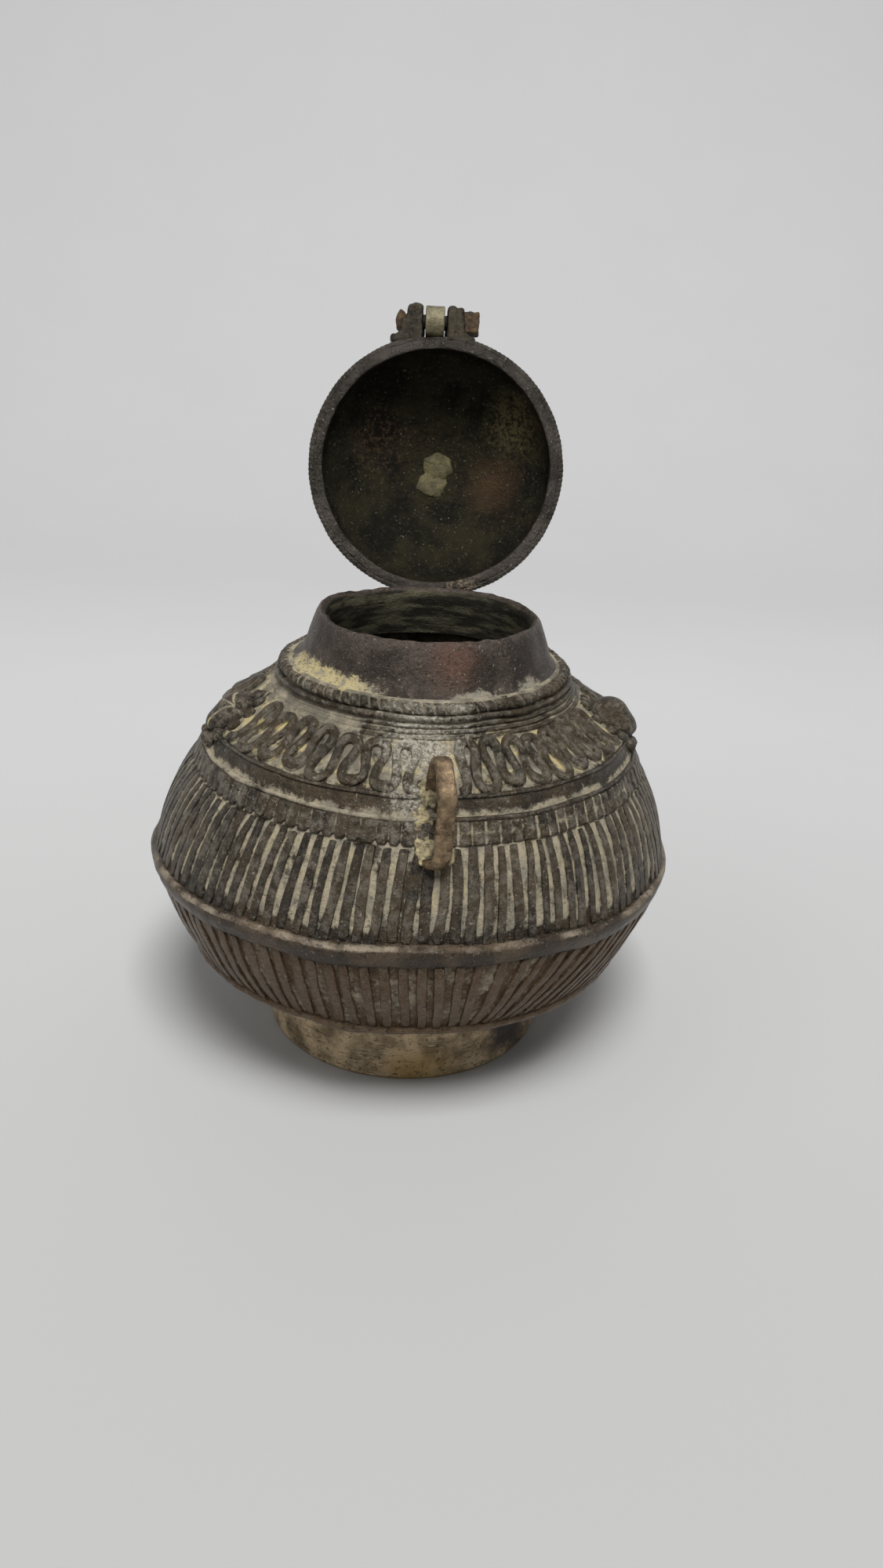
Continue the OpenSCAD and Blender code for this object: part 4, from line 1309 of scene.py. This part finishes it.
def lid_rings():
    rim = [lid_ring("lid_cord", LID_OUT_R + 0.2, 1.2, 1.1, 164, 0.13, 0.75)]
    circles = []
    for slope, cells in ((48, 120), (62, 84), (76, 42)):
        radius = DOME_R * cos(radians(slope))
        height = DOME_Z + DOME_R * sin(radians(slope))
        circles.append(lid_ring("lid_circle", radius, height, 0.85, cells, 0.25))
    for name, node, rings in (("lid_cord", "lid_rim_thread", rim), ("lid_circles", "lid_rings", circles)):
        piece = join(name, rings)
        piece.data.transform(LID_PLACE)
        hand_in(piece, 60, "lid", "dark_bronze", LID_BRONZE, node)


def solder_patch():
    """Two flat dabs of solder inside the top of the lid."""
    inner_dome = DOME_R - LID_WALL

    def inside(x, y):
        def lay(point):
            across, along, out = (value / MM for value in point)
            across += x
            along += y
            depth = sqrt(inner_dome ** 2 - across ** 2 - along ** 2)
            return LID_PLACE @ mm(across, along, DOME_Z + depth - out)

        return lay

    dabs = [lump("dab", (4.2, 4.2, 0.75), inside(0.7, -2.4), 4, 0.3),
            lump("dab", (4.3, 3.6, 0.75), inside(-0.9, 3.0), 7, 0.25)]
    piece = melt("solder_dabs", dabs, 0.25, 2)
    hand_in(piece, 60, "lid", "pale_solder", PALE_SOLDER, "lid_patch")


def hasp_ear(name, node, side):
    """An ear of two strips side by side, cut back outside, stepped within and flared into the lid's edge."""
    wide = EAR_STRIPS[side]
    root = LID_OUT_R - 1.0
    flare_root = LID_OUT_R - 1.6
    shift = EAR_OFF - NECK_OFF
    outside = EAR_GAP + 1.5 * wide

    def bar(kind, aside, size, height, bevel, back=root):
        """A block that reaches forward from the lid, its middle aside from the middle of the hasp."""
        return block(kind, size, (side * aside + shift, -back - size[1] / 2, height), bevel)

    def cut_back(point):
        beyond = side * (point.x / MM - shift) > outside and -point.y / MM > HASP_PIN_OUT
        return point - mm(side * EAR_CUTS[side] * beyond, 0, 0)

    parts = []
    for i, short in ((0, 0.0), (1, 0.35)):
        long = HASP_PIN_OUT + EAR_TOPS[side] - short - root
        parts.append(bar("strip", EAR_GAP + wide * (i + 0.5), (wide + 0.1, long, 7.6), HASP_PIN_H, 0.9))
        mould(parts[-1], cut_back)
    parts += [bar("cheek", outside, (wide, HASP_PIN_OUT + 0.6 - root, 7.0), HASP_PIN_H, 0.9),
              bar("step", EAR_GAP + 0.22, (1.7, HASP_PIN_OUT - 1.4 - root, 4.2), 5.4, 0.3),
              bar("flare", EAR_GAP + wide + 0.6, (2 * wide + 1.2, 3.6, 5.5), 3.1, 1.2, flare_root),
              bar("flare", EAR_GAP + 2 * wide + 1.2, (3.4, 2.6, 4.6), 2.7, 1.0, flare_root)]
    piece = melt(name, parts, 0.3, 4)
    roughen(piece, 0.22, 1.8)
    aside = np.abs(mesh_points(piece)[:, 0] - shift)
    # Painted shade: the inner faces and steps in the gap between the ears are marked to be painted black.
    note(piece, "gap_shade", np.clip((EAR_GAP + 0.3 - aside) / 0.4, 0, 1))
    piece.data.transform(LID_PLACE)
    hand_in(piece, 60, "lid", "dark_bronze", EAR_BRONZE, node)


def hasp_pin():
    """A rusty pin with a round head on the left and a squared end on the right."""
    left = EAR_GAP + 2 * EAR_STRIPS[-1]
    right = EAR_GAP + 2 * EAR_STRIPS[1]
    head = lump("head", (1.5, 3.0, 3.0), lambda p: p - mm(left + 0.1, 0, 0), 3, 0.15)
    square = block("square", (4.6, 6.0, 5.6), (right + 1.5, 0, 0), 0.7)
    piece = melt("hasp_rivet", [rod("shank", HASP_PIN_R, -left - 1, right + 1), head, square], 0.25, 3)
    roughen(piece, 0.3, 1.3)
    # Painted shade: the shank in the gap between the ears is marked to be painted black.
    note(piece, "gap_shade", np.abs(mesh_points(piece)[:, 0]) < EAR_GAP + 0.4)
    piece.data.transform(Matrix.Translation(hasp_at) @ LID_TURN)
    hand_in(piece, 60, "lid", "rusty_iron", RUSTY_IRON, "hasp_pin")


def hasp_strap():
    """The strap: a squarish curl round the pin, a short neck and a long slotted eye."""
    curl = rod("curl", 1.0, -HASP_W / 2, HASP_W / 2, 48)

    def square_off(point):
        angle = atan2(point.z, point.y)
        half = CURL_HALF * MM
        return Vector((point.x, half * blunt(cos(angle), 0.85), half * blunt(sin(angle), 0.85)))

    mould(curl, square_off)
    first = SLOT_FROM + SLOT_W / 2
    last = SLOT_TO - SLOT_W / 2
    aside = STAPLE_OFF - EAR_OFF
    stem = block("stem", (HASP_W - 0.5, HASP_NECK + 0.5, HASP_T), (0, HASP_NECK / 2 + 0.75, HASP_OFF), 0.4)
    bend_long = SLOT_FROM - 0.8 - HASP_NECK
    bend = block("bend", (HASP_W + 0.2, bend_long, HASP_T), (0, HASP_NECK + bend_long / 2, HASP_OFF), 0.4)

    def slant(point):
        return point + mm(aside * (point.y / MM - HASP_NECK) / (first - HASP_NECK), 0, 0)

    mould(bend, slant)
    middle_r = (SLOT_W + HASP_SIDE) / 2
    half_eye = ((pi * middle_r, middle_r), (last - first, 0))
    eye_long = 2 * (pi * middle_r + last - first)

    def eye_place(turn, section):
        way = (turn / FULL_TURN + 0.5) * eye_long
        middle, ahead = track((aside - middle_r, first), (0, -1), 2 * half_eye, way)
        flat = middle + Vector((ahead.y, -ahead.x)) * (HASP_SIDE / 2 * blunt(cos(section), 0.5))
        return mm(flat.x, flat.y, HASP_OFF + HASP_T / 2 * blunt(sin(section), 0.5))

    eye = band("eye", 128, 20, eye_place)
    piece = melt("hasp_plate", [curl, stem, bend, eye], 0.28, 2)
    roughen(piece, 0.12, 2.5)
    piece.data.transform(HASP_PLACE)
    hand_in(piece, 60, "hasp", "pale_brass", PALE_BRASS, "hasp_strap")


# Stage: the camera's place, lens and sensor in mm, and the floor's size and sweep in metres

CAMERA_AT = (0, -295.3, 193.5)
CAMERA_PITCH = radians(22.8)
CAMERA_YAW = radians(1.57)
CAMERA_ROLL = radians(2.9)
CAMERA_LENS = 27
SENSOR_H = 36
STAGE_SIZE = 10
SWEEP_START = 0.55
SWEEP_R = 0.6


def camera():
    """The photograph's camera, which looks down and a little aside, and is rolled a little."""
    level = Vector((cos(CAMERA_YAW), -sin(CAMERA_YAW), 0))
    ahead = Vector((-level.y, level.x, 0)) * cos(CAMERA_PITCH) - Vector((0, 0, sin(CAMERA_PITCH)))
    raised = level.cross(ahead)
    right = cos(CAMERA_ROLL) * level + sin(CAMERA_ROLL) * raised
    up = cos(CAMERA_ROLL) * raised - sin(CAMERA_ROLL) * level
    data = bpy.data.cameras.new("photo_camera")
    data.sensor_fit = "VERTICAL"
    data.sensor_height = SENSOR_H
    data.lens = CAMERA_LENS
    data.clip_start = 0.01
    view = bpy.data.objects.new("photo_camera", data)
    view.matrix_world = Matrix.Translation(mm(*CAMERA_AT)) @ Matrix((right, up, -ahead)).transposed().to_4x4()
    bpy.context.scene.collection.objects.link(view)
    bpy.context.scene.camera = view


def floor():
    """A pale sheet that lies under the pot and sweeps up behind it."""
    ground = start("floor", bpy.ops.mesh.primitive_grid_add, x_subdivisions=4, y_subdivisions=240,
                   size=STAGE_SIZE)

    def lay(point):
        along = point.y - SWEEP_START
        if along < 0:
            return Vector((point.x, point.y, 0))
        angle = min(along / SWEEP_R, pi / 2)
        rest = max(0.0, along - SWEEP_R * pi / 2)
        return Vector((point.x, SWEEP_START + SWEEP_R * sin(angle), SWEEP_R * (1 - cos(angle)) + rest))

    mould(ground, lay)
    smooth(ground, 80)
    f = Finish("pale_floor", 0.0, 0.8)
    pale = f.mix(f.noise(90, 3.0), (0.455, 0.455, 0.455), (0.475, 0.475, 0.475))
    # Painted shade: the sheet is darker towards the front.
    f.colour(f.mix(f.step(f.along("Y"), 0.35, -0.24), pale, (0.335, 0.335, 0.33)))
    ground.data.materials.append(f.material)


def area_light(name, place, aim, size, power):
    data = bpy.data.lights.new(name, "AREA")
    data.size = size
    data.energy = power
    lamp = bpy.data.objects.new(name, data)
    lamp.location = place
    lamp.rotation_euler = (Vector(aim) - Vector(place)).to_track_quat("-Z", "Y").to_euler()
    bpy.context.scene.collection.objects.link(lamp)


def lights():
    aim = (0, 0, 0.08)
    area_light("key", (0.15, -1.0, 2.05), aim, 0.8, 70)
    area_light("fill", (-0.9, -0.6, 0.8), aim, 0.8, 3)
    world = bpy.data.worlds.new("studio")
    world.use_nodes = True
    world.node_tree.nodes["Background"].inputs["Color"].default_value = (0.86, 0.86, 0.87, 1)
    world.node_tree.nodes["Background"].inputs["Strength"].default_value = 0.35
    bpy.context.scene.world = world
    bpy.context.scene.view_settings.view_transform = "Standard"


def finish_nodes():
    """Gives the CAD nodes the finishes of their slots."""
    finishes = {"dark_bronze": HINGE_BRONZE, "brown_bronze": STAPLE_BRONZE, "rusty_iron": RUSTY_IRON,
                "pale_brass": PALE_BRASS, "pale_solder": PALE_SOLDER, "yellow_filler": YELLOW_FILLER}
    for subpart in frame["record"]["subparts"]:
        mesh = frame["nodes"][subpart["node"]].data
        mesh.materials.clear()
        mesh.materials.append(finishes[subpart["material_slot"]])


camera()
floor()
lights()

vessel()
neck()
foot()
keel_band()
ribs("upper_flutes", "upper_ribs", UPPER_BELLY, 116, (0.07, 1.0), 2.5, 0.55, upright, 5)
ribs("lower_flutes", "lower_ribs", LOWER_BELLY, 100, (0.12, 0.88), 2.6, 0.65, swept, 6)
notched_band()
threads()
meanders()
rosette("rosette_petals_left", "rosette_left", LEFT_ROSETTE, 0.2, (4.2, 1.6), 31)
rosette("rosette_petals_right", "rosette_right", RIGHT_ROSETTE, 1.3, None, 32)
staple()
filler()
rear_hinge()
lid()
lid_rings()
solder_patch()
hasp_ear("ear_left", "hasp_ear_left", -1)
hasp_ear("ear_right", "hasp_ear_right", 1)
hasp_pin()
hasp_strap()
finish_nodes()
